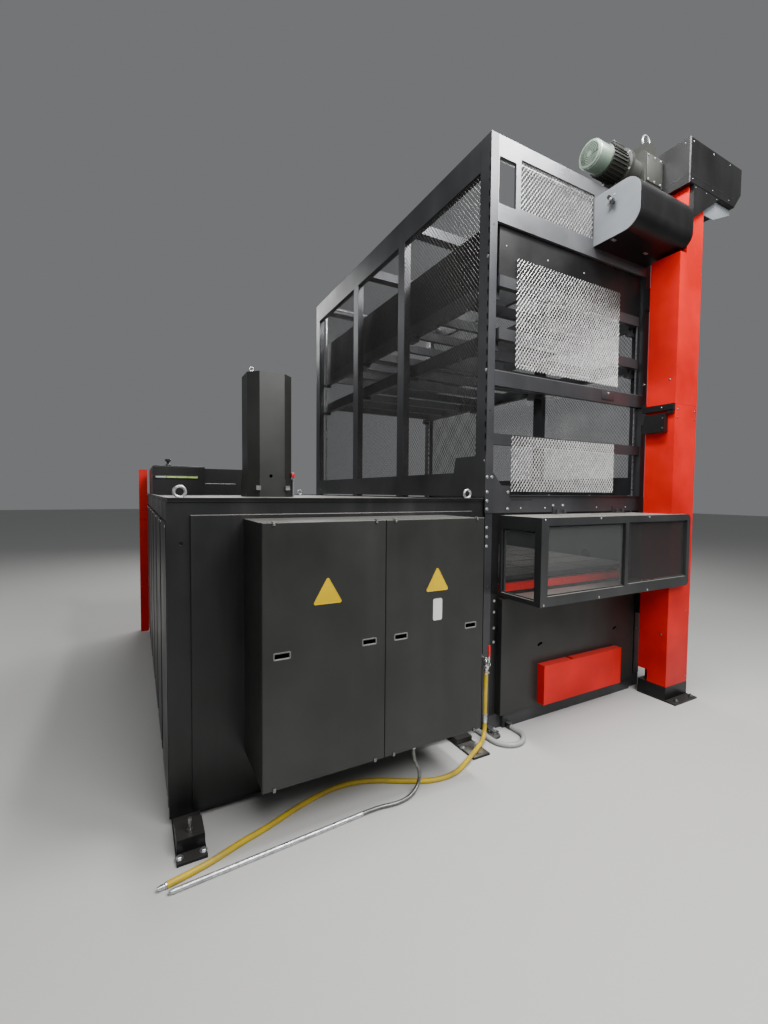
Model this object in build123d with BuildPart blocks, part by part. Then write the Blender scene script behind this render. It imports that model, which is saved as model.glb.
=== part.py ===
from build123d import *
import os
from math import pi, radians, tan

# Punch laser combination machine: an enclosed punching and laser cutting body,
# a storage tower that feeds it sheets, and the red mast that carries the hoist drive.
# Sizes are in millimetres. X runs along the front, Y to the rear, Z up from the floor.
os.makedirs("parts", exist_ok=True)

# Enclosed body
body_width = 1830
body_length = 3400
body_height = 1520
floor_gap = 40
rim_height = 8
rim_width = 15
cover_sheet = 12
skin = 8
panel_proud = 12
frame_bar = 100
upright_size = 80
weld_gap = 1
frame_bottom = 60

# End door, left side panels, rear covers and the sheet slot in the right wall
door_margin = 99
door_top = body_height - 80
side_sheet = 6
side_relief = 14
side_panel_count = 6
side_panel_length = 460
band_height = 88
inspection_hole = 9
inspection_drop = 210
rear_door_gap = 30
slot_bottom = 880
slot_height = 200
slot_start = 150
slot_length = 2850

# Feet of the body
foot_reach = 249
foot_width = 122
foot_inset = 11
foot_plate = 12
anchor_hole = 9
anchor_spacing = 95
anchor_reach = 194
screw_radius = 8
screw_top = 130
screw_reach = 150
nose_plate = 10
hose_foot_left = body_width - 240
anchor_row = 100

# Electrical cabinet on the front
cabinet_left = 333
cabinet_width = 1177
cabinet_bottom = 280
cabinet_top = body_height - 98
cabinet_depth = 346
cover_depth = 24
cover_gap = 2
cabinet_wall = 3
clip_reach = 10
grip_width = 65
grip_height = 22
grip_level = (cabinet_bottom + cabinet_top) / 2 + 5
grip_inset = 84

# Lifting eyes
eye_ring = 24.5
eye_wire = 7
eye_inset = 59

# Cutting column and punching head covers
column_left = 593
column_width = 322
column_front = 1050
column_depth = 328
column_corner = 71
column_height = 891
collar_height = 130
collar_wall = 8
column_wall = 6
head_left = 20
head_width = 435
head_front = 2300
head_length = 1000
head_height = 265
side_box_left = 460
side_box_width = 400
side_box_front = 2500
side_box_height = 255
hood_wall = 4

# Red corner post at the rear left
corner_post = 80
corner_post_height = body_height + 260
corner_post_wall = 5

# Storage tower
tower_gap = 5
tower_left = body_width + tower_gap
tower_width = 1648
tower_right = tower_left + tower_width
tower_depth = 3090
tower_height = 3780
post_width = 58
post_depth = 100
post_wall = 4
post_rows = (0, tower_depth / 3, tower_depth - 1175, tower_depth - post_depth)
slot_pitch = 75
top_beam_depth = 195
side_beam_width = 50
band_bottom = body_height + 10
tower_band = 160
band_top = band_bottom + tower_band
bay_left = tower_left + post_width
bay_right = tower_right - post_width
strong_beam_drop = 1542
strong_beam_bottom = tower_height - strong_beam_drop
strong_beam_height = 102
sill_bottom = body_height - 95
sill_height = 117
sill_top = sill_bottom + sill_height
sill_depth = 24
gusset_width = 199
gusset_rise = 138
gusset_shelf = 77
gusset_right = tower_left + gusset_width
gusset_top = sill_top + gusset_rise
mesh_rail_height = 72
mesh_rail_bottom = (sill_top + strong_beam_bottom) / 2 - 25
front_frame_height = 525
front_frame_bottom = tower_height - front_frame_height
front_frame_depth = 20
mesh_sheet = 4
mesh_strand = 12

# Cassettes and their rails
cassette_drop_lower = 1238
cassette_drop_upper = 908
cassette_levels = (tower_height - cassette_drop_lower, tower_height - cassette_drop_upper)
cassette_height = 71
cassette_gap = 42
cassette_front = 14
cassette_bar = 40
tray_bays = 8
cassette_wall_height = 367
cassette_wall = 4
rail_height = 29
rail_width = 50

# Lift in the lower bay
lift_level = 895
lift_beam = 50
lift_brush = 55
brush_rows = 12
brush_columns = 3
brush_gap = 15
chain_width = 14
chain_depth = 6
chain_gap = 15
sprocket_radius = 39.5
sprocket_drop = 55
shaft_radius = 15
running_gap = 0.5

# Mast and what it carries
mast_overlap = 133
mast_left = tower_right - mast_overlap
mast_width = 280
mast_front = 300
mast_back = 85
mast_wall = 5
mast_seam_drop = 1558
mast_seam = tower_height - mast_seam_drop
plinth_top = 110
mast_foot_front = 377
foot_notch = 90
foot_notch_depth = 72
mast_right = mast_left + mast_width
drum_overhang = 547
drum_left = mast_left - drum_overhang
drum_seat = 70
drum_right = mast_left + drum_seat
drum_reach = 342
drum_drop = 112
drum_height = 340
drum_top = tower_height - drum_drop
drum_bottom = drum_top - drum_height
drum_nose = 110
drum_wall = 4
end_plate = 6
drive_inset = 30
drive_left = mast_left + drive_inset
drive_width = 710
drive_front = 330
drive_back = 250
drive_height = 319
drive_chamfer_width = 95
drive_chamfer_height = 120
shroud_inset = 86
shroud_width = 334
shroud_height = 236
shroud_left = mast_left + shroud_inset
shroud_right = shroud_left + shroud_width
shroud_bottom = tower_height - shroud_height

# Hoist motor, lying along X
motor_axis_front = 20
motor_rise = 150
motor_axis_level = tower_height + motor_rise
motor_reach = 680
motor_left = drive_left - motor_reach
fan_radius = 90
motor_radius = 100
flange_radius = 125

# Window guard in front of the lower bay
guard_inset = 125
guard_lap = 160
guard_left = tower_left + guard_inset
guard_right = mast_left + guard_lap
guard_reach = 350
guard_bottom = 880
guard_gap = 15
guard_top = sill_bottom - guard_gap
guard_tube = 40
guard_corner = 40
pane = 6

# Front cover below the guard, its plinth and the red box on it
access_inset = 121
access_left = tower_left + access_inset
access_right = mast_left - 5
access_bottom = 95
access_top = guard_bottom - 10
access_depth = 40
plinth_span = (access_left + 42, access_right - 5)
red_box_inset = 334
red_box_width = 820
red_box_left = access_left + red_box_inset
red_box_right = red_box_left + red_box_width
red_box_bottom = 120
red_box_top = 390
red_box_depth = 60

# Compressed air inlet, hose, conduit and loop of cable hose
valve_across = body_width - 18
valve_out = 60
valve_level = 480
hose_radius = 13
conduit_radius = 10
loop_radius = 16

# The origin stands on the floor in the middle of the whole machine.
drive_right = drive_left + drive_width
half_width = (corner_post + drive_right) / 2
cabinet_reach = cabinet_depth + cover_depth + clip_reach
half_depth = (cabinet_reach + body_length + corner_post) / 2
left = corner_post - half_width
front = cabinet_reach - half_depth

cover_bottom = body_height - rim_height - cover_sheet
deck = body_height - rim_height


def front_view(depth):
    """A plane seen from the front, at a distance behind the front face."""
    return Plane(origin=(left, front + depth, 0), x_dir=(1, 0, 0), z_dir=(0, -1, 0))


def side_view(across):
    """A plane seen from the right, at a distance from the left side."""
    return Plane(origin=(left + across, front, 0), x_dir=(0, 1, 0), z_dir=(1, 0, 0))


def top_view(level):
    """A level plane at a height above the floor."""
    return Plane(origin=(left, front, level), x_dir=(1, 0, 0), z_dir=(0, 0, 1))


def rect(across, up, mode=Mode.ADD):
    """A rectangle between two values along each direction of the sketch."""
    with Locations(((across[0] + across[1]) / 2, (up[0] + up[1]) / 2)):
        Rectangle(across[1] - across[0], up[1] - up[0], mode=mode)


def block(x, y, z, mode=Mode.ADD):
    """A bar or plate between two values along X, Y and Z."""
    middle = (left + (x[0] + x[1]) / 2, front + (y[0] + y[1]) / 2, (z[0] + z[1]) / 2)
    with Locations(middle):
        Box(x[1] - x[0], y[1] - y[0], z[1] - z[0], mode=mode)


def rod_along(direction, x, y, z, radius, length, mode=Mode.ADD):
    """A round bar that starts at a point and runs along a direction."""
    with Locations(Plane(origin=(left + x, front + y, z), z_dir=direction)):
        Cylinder(radius, length, align=(Align.CENTER, Align.CENTER, Align.MIN), mode=mode)


def finish(part, name):
    """Label a finished piece and write it."""
    part.label = name
    export_step(part, f"parts/{name}.step")


# Base frame of the body: long bars, cross bars, uprights and top rails
frame_in = panel_proud + skin
right_in = body_width - frame_in
rear_in = body_length - frame_in
frame_top = frame_bottom + frame_bar
upright_top = cover_bottom - 65
beam_rows = (frame_in, 1100, 2200, rear_in - frame_bar)

with BuildPart() as base_frame:
    for x in (frame_in, right_in - frame_bar):
        block((x, x + frame_bar), (frame_in, rear_in), (frame_bottom, frame_top))
    inner = (frame_in + frame_bar + weld_gap, right_in - frame_bar - weld_gap)
    for y in beam_rows:
        block(inner, (y, y + frame_bar), (frame_bottom, frame_top))
    for x in (frame_in, right_in - upright_size):
        for y in (frame_in, rear_in - upright_size):
            block(
                (x, x + upright_size),
                (y, y + upright_size),
                (frame_top + weld_gap, upright_top),
            )
    for x in (frame_in, right_in - upright_size):
        block(
            (x, x + upright_size), (frame_in, rear_in), (upright_top + weld_gap, cover_bottom)
        )
    top_inner = (frame_in + upright_size + weld_gap, right_in - upright_size - weld_gap)
    for y in (frame_in, 960, 1390, rear_in - upright_size):
        block(top_inner, (y, y + upright_size), (upright_top + weld_gap, cover_bottom))
finish(base_frame.part, "base_frame")

# Sheets behind the panels: both ends, the left side and the right wall with its sheet slot
side_start = frame_in + weld_gap
side_end = rear_in - weld_gap
wall_height = (floor_gap, cover_bottom)
with BuildPart() as wall_sheets:
    with BuildSketch(front_view(frame_in)):
        rect((0, body_width), wall_height)
        with Locations((60, body_height - inspection_drop)):
            Circle(inspection_hole, mode=Mode.SUBTRACT)
    extrude(amount=skin)
    with BuildSketch(front_view(body_length - panel_proud)):
        rect((0, body_width), wall_height)
    extrude(amount=skin)
    with BuildSketch(side_view(side_relief)):
        rect((side_start, side_end), wall_height)
    extrude(amount=side_sheet)
    with BuildSketch(side_view(right_in)):
        rect((side_start, side_end), wall_height)
        rect(
            (slot_start, slot_start + slot_length),
            (slot_bottom, slot_bottom + slot_height),
            mode=Mode.SUBTRACT,
        )
    extrude(amount=skin)
finish(wall_sheets.part, "wall_sheets")

# Panels that stand proud: the end door, the left band and its row, two rear covers
band_low = cover_bottom - band_height
side_panel_pitch = (side_end - side_start) / side_panel_count
rear_middle = body_width / 2
rear_spans = (
    (frame_bar, rear_middle - rear_door_gap / 2),
    (rear_middle + rear_door_gap / 2, body_width - frame_bar),
)
with BuildPart() as body_panels:
    with BuildSketch(front_view(panel_proud)):
        rect((door_margin, body_width - door_margin), (frame_bottom, door_top))
    extrude(amount=panel_proud)
    fillet(body_panels.faces().sort_by(Axis.Y)[0].edges(), panel_proud / 3)
    with BuildSketch(front_view(body_length)):
        for low, high in rear_spans:
            rect((low, high), (frame_bottom, door_top))
            with Locations((low + grip_inset, grip_level), (high - grip_inset, grip_level)):
                Rectangle(grip_width, grip_height, mode=Mode.SUBTRACT)
    extrude(amount=panel_proud)
    with BuildSketch(side_view(0)):
        rect((side_start, side_end), (band_low, cover_bottom))
        for number in range(side_panel_count):
            middle = side_start + side_panel_pitch * (number + 0.5)
            half = side_panel_length / 2
            rect((middle - half, middle + half), (frame_bottom, band_low - 2 * skin))
            with Locations((middle - half, cover_bottom - band_height / 2)):
                Circle(inspection_hole, mode=Mode.SUBTRACT)
    extrude(amount=side_relief)
finish(body_panels.part, "body_panels")

# Top cover, open under the column and the two heads, and the rim round its edge
column_middle = (column_left + column_width / 2, column_front + column_depth / 2)
head_right = head_left + head_width
head_rear = head_front + head_length
side_box_right = side_box_left + side_box_width
hole_margin = 20
with BuildPart() as top_cover:
    with BuildSketch(top_view(cover_bottom)):
        rect((6, body_width - 6), (6, body_length - 6))
        with Locations(column_middle):
            Circle(column_width / 2 - 2 * hole_margin, mode=Mode.SUBTRACT)
        rect(
            (head_left + hole_margin, head_right - hole_margin),
            (head_front + hole_margin, head_rear - hole_margin),
            mode=Mode.SUBTRACT,
        )
        rect(
            (side_box_left + hole_margin, side_box_right - hole_margin),
            (side_box_front + hole_margin, head_rear - hole_margin),
            mode=Mode.SUBTRACT,
        )
    extrude(amount=cover_sheet)
    with BuildSketch(top_view(deck)):
        rect((0, body_width), (0, body_length))
        rect(
            (rim_width, body_width - rim_width),
            (rim_width, body_length - rim_width),
            mode=Mode.SUBTRACT,
        )
    extrude(amount=rim_height)
finish(top_cover.part, "top_cover")

# Feet: a floor plate with an arm under the frame. The near one at the left has a nose
# with a levelling screw; the one beside the hose is flat at the front.
rear_foot = body_length - 170
left_foot = foot_inset
right_foot = hose_foot_left
foot_arms = (
    (left_foot, -foot_reach, -screw_reach - 40, frame_bar, -anchor_reach - 20),
    (right_foot, -foot_reach + 27, -60, frame_bar, -anchor_row),
    (left_foot, rear_foot, rear_foot, body_length, None),
    (right_foot, rear_foot, rear_foot, body_length, None),
)
arm_inset = 4
pad_inset = 10
with BuildPart() as foot_brackets:
    for x, plate_start, arm_start, end, anchors in foot_arms:
        arm = (x + arm_inset, x + foot_width - arm_inset)
        pad = (max(arm_start, frame_in), min(end, rear_in))
        block((x, x + foot_width), (plate_start, end), (0, foot_plate))
        block(arm, (arm_start, end), (foot_plate, floor_gap))
        block((arm[0] + pad_inset, arm[1]), pad, (floor_gap, frame_bottom))
        if anchors is not None:
            for shift in (-anchor_spacing / 2, anchor_spacing / 2):
                spot = x + foot_width / 2 + shift
                rod_along((0, 0, 1), spot, anchors, 0, anchor_hole, foot_plate, Mode.SUBTRACT)
    nose = (left_foot + arm_inset, left_foot + foot_width - arm_inset)
    block(nose, (-screw_reach - 40, -60), (floor_gap, frame_bottom + nose_plate))
    rod_along(
        (0, 0, 1),
        left_foot + foot_width / 2,
        -screw_reach,
        foot_plate,
        screw_radius + running_gap,
        frame_bottom,
        Mode.SUBTRACT,
    )
finish(foot_brackets.part, "foot_brackets")

# Electrical cabinet: an open box with a centre post, two covers held by clips
cabinet_right = cabinet_left + cabinet_width
cabinet_middle = cabinet_left + cabinet_width / 2 - 6.5
shell_inset = 3
with BuildPart() as cabinet_shell:
    with BuildSketch(front_view(0)):
        rect(
            (cabinet_left + shell_inset, cabinet_right - shell_inset),
            (cabinet_bottom + shell_inset, cabinet_top - shell_inset),
        )
    extrude(amount=cabinet_depth)
    with BuildSketch(front_view(-cabinet_wall)):
        for low, high in (
            (cabinet_left + shell_inset + cabinet_wall, cabinet_middle - cabinet_wall),
            (cabinet_middle + cabinet_wall, cabinet_right - shell_inset - cabinet_wall),
        ):
            rect(
                (low, high),
                (
                    cabinet_bottom + shell_inset + cabinet_wall,
                    cabinet_top - shell_inset - cabinet_wall,
                ),
            )
    extrude(amount=cabinet_depth - cabinet_wall, mode=Mode.SUBTRACT)
finish(cabinet_shell.part, "cabinet_shell")

cover_spans = {
    "cabinet_cover_left": (cabinet_left, cabinet_middle - cover_gap / 2),
    "cabinet_cover_right": (cabinet_middle + cover_gap / 2, cabinet_right),
}
for name, (low, high) in cover_spans.items():
    with BuildPart() as cabinet_cover:
        with BuildSketch(front_view(-cabinet_depth)):
            rect((low, high), (cabinet_bottom, cabinet_top))
        extrude(amount=cover_depth)
        fillet(cabinet_cover.faces().sort_by(Axis.Y)[0].edges(), 4)
        with BuildSketch(front_view(-cabinet_depth)):
            rect(
                (low + cabinet_wall, high - cabinet_wall),
                (cabinet_bottom + cabinet_wall, cabinet_top - cabinet_wall),
            )
        extrude(amount=cover_depth - cabinet_wall, mode=Mode.SUBTRACT)
        with BuildSketch(front_view(-cabinet_depth)):
            with Locations((low + grip_inset, grip_level), (high - grip_inset, grip_level)):
                Rectangle(grip_width, grip_height)
        extrude(amount=cover_depth, mode=Mode.SUBTRACT)
    finish(cabinet_cover.part, name)

# Clips on the top and bottom edge of each cover: a foot on the edge and a thumb tab
clip_width = 24
for name, (low, high) in cover_spans.items():
    with BuildPart() as cover_clips:
        for x in (low + 50, high - 50):
            span = (x - clip_width / 2, x + clip_width / 2)
            foot = (-cabinet_depth - cover_depth, -cabinet_depth - 2)
            tab = (-cabinet_depth - cover_depth - clip_reach, -cabinet_depth - cover_depth)
            block(span, foot, (cabinet_top, cabinet_top + 5))
            block(span, tab, (cabinet_top - 14, cabinet_top + 5))
            block(span, foot, (cabinet_bottom - 5, cabinet_bottom))
            block(span, tab, (cabinet_bottom - 5, cabinet_bottom + 14))
    finish(cover_clips.part, name.replace("cabinet_cover", "cover_clips"))

# Inside the cabinet: a mounting plate on each side with rows of modules
plate_back = -cabinet_wall
module_depths = (90, 130, 110, 150)
module_height = 150
module_pitch = (cabinet_top - cabinet_bottom - 182) / len(module_depths)
with BuildPart() as cabinet_electrics:
    for low, high in cover_spans.values():
        sides = (low + 40, high - 40)
        block(sides, (plate_back - 5, plate_back), (cabinet_bottom + 60, cabinet_top - 60))
        for number, depth in enumerate(module_depths):
            row = cabinet_bottom + 120 + module_pitch * number
            block(
                (sides[0] + 30, sides[1] - 30),
                (plate_back - depth, plate_back - 5),
                (row, row + module_height),
            )
finish(cabinet_electrics.part, "cabinet_electrics")


def octagon(grow, mode=Mode.ADD):
    """The column's outline, a rectangle with cut corners, grown outwards."""
    half_x = column_width / 2 + grow
    half_y = column_depth / 2 + grow
    cut = column_corner + 0.586 * grow
    quarter = [(half_x, half_y - cut), (half_x - cut, half_y)]
    points = quarter + [(-x, y) for x, y in reversed(quarter)]
    points += [(-x, -y) for x, y in points]
    with Locations(column_middle):
        Polygon(*points, align=None, mode=mode)


# Octagonal column over the laser head, and the collar that clamps it to the deck
with BuildPart() as octagonal_column:
    with BuildSketch(top_view(deck)):
        octagon(0)
    extrude(amount=column_height)
    with BuildSketch(top_view(deck)):
        octagon(-column_wall)
    extrude(amount=column_height - column_wall, mode=Mode.SUBTRACT)
    rod_along(
        (0, 1, 0), column_middle[0] - 10, column_front - 2, deck + 151, 12, 20, Mode.SUBTRACT
    )
finish(octagonal_column.part, "octagonal_column")

with BuildPart() as column_collar:
    with BuildSketch(top_view(deck)):
        octagon(collar_wall)
        octagon(0, Mode.SUBTRACT)
    extrude(amount=collar_height)
finish(column_collar.part, "column_collar")

# Hoods over the punching head: a long one at the left, a shorter one beside it
hoods = (
    ((head_left, head_right), (head_front, head_rear), head_height),
    ((side_box_left, side_box_right), (side_box_front, head_rear), side_box_height),
)
with BuildPart() as punch_hoods:
    for across, along, height in hoods:
        outer = top_view(deck)
        with BuildSketch(outer):
            rect(across, along)
        extrude(amount=height)
    fillet(punch_hoods.edges().filter_by(GeomType.LINE).group_by(Axis.Z)[-1], 12)
    for across, along, height in hoods:
        with BuildSketch(top_view(deck)):
            rect(
                (across[0] + hood_wall, across[1] - hood_wall),
                (along[0] + hood_wall, along[1] - hood_wall),
            )
        extrude(amount=height - hood_wall, mode=Mode.SUBTRACT)
finish(punch_hoods.part, "punch_hoods")

# Red corner post: a square tube with a cap, a foot plate and two brackets
with BuildPart() as corner_tube:
    post_y = (body_length, body_length + corner_post)
    block((-corner_post, 0), post_y, (0, corner_post_height))
    block(
        (-corner_post + corner_post_wall, -corner_post_wall),
        (body_length + corner_post_wall, post_y[1] - corner_post_wall),
        (foot_plate, corner_post_height - corner_post_wall),
        Mode.SUBTRACT,
    )
    for level in (420, corner_post_height - 540):
        block((-corner_post, 50), (body_length - panel_proud, body_length), (level, level + 80))
finish(corner_tube.part, "corner_post")

# Tower uprights: eight square tubes, the near one with its row of rack slots
post_lefts = (tower_left, bay_right)
slot_width = 12
slot_tall = 36
with BuildPart() as tower_posts:
    with BuildSketch(top_view(0)):
        for x in post_lefts:
            for y in post_rows:
                rect((x, x + post_width), (y, y + post_depth))
                rect(
                    (x + post_wall, x + post_width - post_wall),
                    (y + post_wall, y + post_depth - post_wall),
                    mode=Mode.SUBTRACT,
                )
    extrude(amount=tower_height)
    slot_count = int((tower_height - 2 * slot_pitch) / slot_pitch)
    with BuildSketch(side_view(tower_left)):
        for number in range(slot_count):
            with Locations((slot_width, slot_pitch * (number + 1.5))):
                Rectangle(slot_width, slot_tall)
    extrude(amount=post_wall, mode=Mode.SUBTRACT)
finish(tower_posts.part, "tower_posts")

# Beams between the uprights, each a bar of its own
row_ends = [
    (low + post_depth + weld_gap, high - weld_gap)
    for low, high in zip(post_rows[:-1], post_rows[1:])
]
tower_rear = post_rows[-1] + post_depth
side_spans = (
    (tower_left, tower_left + side_beam_width),
    (tower_right - side_beam_width, tower_right),
)
beam_depth = 40
strong_beam_top = strong_beam_bottom + strong_beam_height
cross_span = (bay_left + weld_gap, bay_right - weld_gap)
floor_level = (0, access_bottom)
with BuildPart() as tower_beams:
    for across in side_spans:
        for along in row_ends:
            block(across, along, (tower_height - top_beam_depth, tower_height))
            block(across, along, (band_bottom, band_top))
            block(across, along, floor_level)
    for y in post_rows[1:]:
        beam_y = (y, y + post_depth)
        block(cross_span, beam_y, (tower_height - 80, tower_height))
        block(cross_span, beam_y, floor_level)
    block(cross_span, (0, 30), floor_level)
    block((access_left, cross_span[1]), (0, 30), (access_top - 80, access_top))
    block(plinth_span, (-20, 0), (0, access_bottom - 1))
    with BuildSketch(side_view(cross_span[0])):
        with BuildLine():
            Polyline(
                (0, strong_beam_bottom),
                (beam_depth, strong_beam_bottom),
                (beam_depth, strong_beam_top),
                (10, strong_beam_top),
                (0, strong_beam_top - 10),
                close=True,
            )
        make_face()
        rect((12, beam_depth), (mesh_rail_bottom, mesh_rail_bottom + mesh_rail_height))
        with BuildLine():
            Polyline(
                (0, sill_bottom),
                (sill_depth, sill_bottom),
                (sill_depth, sill_top),
                (0, sill_top),
                close=True,
            )
        make_face()
    extrude(amount=cross_span[1] - cross_span[0])
    block((gusset_right, cross_span[1]), (-12, 0), (sill_top - 6, sill_top))
finish(tower_beams.part, "tower_beams")

# Front frame at the top: a folded sheet with a window and the opening for the mesh
window = ((bay_left + 7, bay_left + 152), (tower_height - 415, tower_height - 128))
mesh_top_span = ((bay_left + 192, drum_left - 8), (tower_height - 400, tower_height - 90))
with BuildPart() as front_top_frame:
    with BuildSketch(front_view(front_frame_depth)):
        rect(cross_span, (front_frame_bottom, tower_height))
        rect(*mesh_top_span, mode=Mode.SUBTRACT)
    extrude(amount=front_frame_depth)
    with BuildSketch(front_view(front_frame_depth)) as window_hole:
        rect(*window)
        fillet(window_hole.vertices(), 10)
    extrude(amount=front_frame_depth, mode=Mode.SUBTRACT)
finish(front_top_frame.part, "front_top_frame")

# Black stile between the near upright and the panels of the front
with BuildPart() as front_stile:
    block(
        (cross_span[0], access_left - weld_gap),
        (0, 30),
        (access_bottom, sill_bottom - weld_gap),
    )
finish(front_stile.part, "front_stile")

# Sheet plates of the tower: the closed panel low on the right side, and the gussets that
# tie the tower to the body
side_panel = 4
gusset_left = tower_left - 9
with BuildPart() as tower_plates:
    with BuildSketch(side_view(tower_right)):
        rect((0, tower_rear), (access_bottom, band_bottom))
    extrude(amount=side_panel)
    with BuildSketch(front_view(0)):
        with BuildLine():
            Polyline(
                (gusset_left, sill_bottom),
                (gusset_right, sill_bottom),
                (gusset_right, gusset_top - gusset_shelf),
                (gusset_right - 74, gusset_top - gusset_shelf),
                (gusset_right - 137, gusset_top),
                (gusset_left, gusset_top),
                close=True,
            )
        make_face()
    extrude(amount=6)
    with BuildSketch(side_view(tower_left - 4)):
        with BuildLine():
            Polyline(
                (0, band_bottom),
                (360, band_bottom),
                (310, band_top + 103),
                (0, band_top + 103),
                close=True,
            )
        make_face()
    extrude(amount=4)
finish(tower_plates.part, "tower_plates")


def mesh_openings(across, up, columns, rows):
    """Two staggered grids of upright diamonds between the edges of a panel."""
    wide = (across[1] - across[0] - mesh_strand) / columns
    tall = (up[1] - up[0] - mesh_strand) / rows
    middle = ((across[0] + across[1]) / 2, (up[0] + up[1]) / 2)
    half_x = wide / 2 - mesh_strand * 0.55
    half_y = tall / 2 - mesh_strand * 0.85
    diamond = ((half_x, 0), (0, half_y), (-half_x, 0), (0, -half_y))
    with Locations(middle):
        with GridLocations(wide, tall, columns, rows):
            Polygon(*diamond, align=None, mode=Mode.SUBTRACT)
        with GridLocations(wide, tall, columns - 1, rows - 1):
            Polygon(*diamond, align=None, mode=Mode.SUBTRACT)


# Expanded metal on the front: three panels of upright diamonds
mesh_front_depth = 8
mesh_middle_up = (strong_beam_top + 30, front_frame_bottom - 180)
mesh_middle_span = ((bay_left + 182, bay_right - 295), mesh_middle_up)
mesh_lower_up = (sill_top + 23, mesh_rail_bottom + 65)
mesh_lower_span = ((bay_left + 162, bay_right - 315), mesh_lower_up)
with BuildPart() as mesh_front:
    with BuildSketch(front_view(mesh_front_depth + mesh_sheet)):
        for span, columns, rows in (
            (mesh_top_span, 7, 3),
            (mesh_middle_span, 8, 4),
            (mesh_lower_span, 8, 2),
        ):
            rect(*span)
            mesh_openings(*span, columns, rows)
    extrude(amount=mesh_sheet)
finish(mesh_front.part, "mesh_front")

# Expanded metal on both sides, one panel in each bay
mesh_up = (band_top + weld_gap, tower_height - top_beam_depth - weld_gap)
with BuildPart() as mesh_sides:
    for x in (tower_left + 6, tower_right - 6 - mesh_sheet):
        with BuildSketch(side_view(x)):
            for along in row_ends:
                edge = (along[0] - weld_gap, along[1] + weld_gap)
                rect(edge, mesh_up)
                mesh_openings(edge, mesh_up, 4, 5)
        extrude(amount=mesh_sheet)
finish(mesh_sides.part, "mesh_sides")

# Rails that carry the cassettes, with a bracket from each upright
tray_left = bay_left + cassette_gap
tray_right = bay_right - cassette_gap
rail_spans = {
    (tray_left, tray_left + rail_width): (bay_left, tray_left + rail_width),
    (tray_right - rail_width, tray_right): (tray_right - rail_width, bay_right),
}
bracket_rows = [
    (post_rows[0] + 74, post_rows[0] + post_depth),
    *((y, y + post_depth) for y in post_rows[1:-1]),
    (post_rows[-1], post_rows[-1] + 26),
]
with BuildPart() as cassette_rails:
    for level in cassette_levels:
        rail_low = level - rail_height
        for across, bracket in rail_spans.items():
            block(across, (bracket_rows[0][0], bracket_rows[-1][1]), (rail_low, level))
            for along in bracket_rows:
                block(bracket, along, (rail_low - 30, rail_low))
finish(cassette_rails.part, "cassette_rails")

# Cassettes: a tray of bars that rests on its two rails and slides out to the rear
tray_front = cassette_front + 2
tray_rear = post_rows[-1] - 10
for name, level in zip(("cassette_lower", "cassette_upper"), cassette_levels):
    with BuildPart() as cassette:
        with BuildSketch(top_view(level)):
            rect((tray_left, tray_right), (tray_front, tray_rear))
            bay = (tray_rear - tray_front - cassette_bar) / tray_bays
            for number in range(tray_bays):
                start = tray_front + cassette_bar + number * bay
                rect(
                    (tray_left + rail_width, tray_right - rail_width),
                    (start, start + bay - cassette_bar),
                    mode=Mode.SUBTRACT,
                )
        extrude(amount=cassette_height)
    finish(cassette.part, name)

# Sheet walls that make the upper cassette a box, open at the top, behind the front frame
wall_foot = cassette_levels[1] + cassette_height
wall_front = max(tray_front, front_frame_depth + 4)
with BuildPart() as cassette_walls:
    with BuildSketch(top_view(wall_foot)):
        rect((tray_left, tray_right), (wall_front, tray_rear))
        rect(
            (tray_left + cassette_wall, tray_right - cassette_wall),
            (wall_front + cassette_wall, tray_rear - cassette_wall),
            mode=Mode.SUBTRACT,
        )
    extrude(amount=cassette_wall_height)
finish(cassette_walls.part, "cassette_walls")

# Lift table: a red frame whose lugs hang on the chains, with modules of black brushes
lift_top = lift_level + lift_beam
table_front = 32
table_rear = post_rows[-1] - 10
chain_spans = (
    (bay_left + chain_gap, bay_left + chain_gap + chain_width),
    (bay_right - chain_gap - chain_width, bay_right - chain_gap),
)
chain_front = (beam_depth + 4, beam_depth + 4 + chain_depth)
chain_rear = (table_rear - 20, table_rear - 20 + chain_depth)
with BuildPart() as lift_table:
    with BuildSketch(top_view(lift_level)):
        rect((tray_left, tray_right), (table_front, table_rear))
        bay = (table_rear - table_front - lift_beam) / tray_bays
        for number in range(tray_bays):
            start = table_front + lift_beam + number * bay
            rect(
                (tray_left + rail_width, tray_right - rail_width),
                (start, start + bay - lift_beam),
                mode=Mode.SUBTRACT,
            )
    extrude(amount=lift_beam)
    for chain in chain_spans:
        lug = (min(chain[0] - 3, tray_right), max(chain[1] + 3, tray_left))
        for along in (chain_front, chain_rear):
            block(lug, (along[0] - 6, along[1] + 6), (lift_top - 20, lift_top))
finish(lift_table.part, "lift_table")

bar_top = lift_top + 20
column_pitch = (tray_right - tray_left + brush_gap) / brush_columns
row_pitch = (table_rear - table_front + brush_gap) / brush_rows
with BuildPart() as lift_brushes:
    with BuildSketch(top_view(bar_top)):
        for column in range(brush_columns):
            for row in range(brush_rows):
                x = tray_left + column_pitch * column
                y = table_front + row_pitch * row
                rect((x, x + column_pitch - brush_gap), (y, y + row_pitch - brush_gap))
    extrude(amount=lift_top + lift_brush - bar_top)
    with BuildSketch(top_view(lift_top)):
        for column in range(brush_columns + 1):
            middle = tray_left + column_pitch * column - brush_gap / 2
            low = max(tray_left, middle - rail_width / 2)
            high = min(tray_right, middle + rail_width / 2)
            rect((low, high), (table_front, table_rear))
    extrude(amount=bar_top - lift_top)
finish(lift_brushes.part, "lift_brushes")

shaft_level = tower_height - sprocket_drop
with BuildPart() as lift_chains:
    for across in chain_spans:
        for along in (chain_front, chain_rear):
            block(across, along, (lift_top, shaft_level))
finish(lift_chains.part, "lift_chains")

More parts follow.
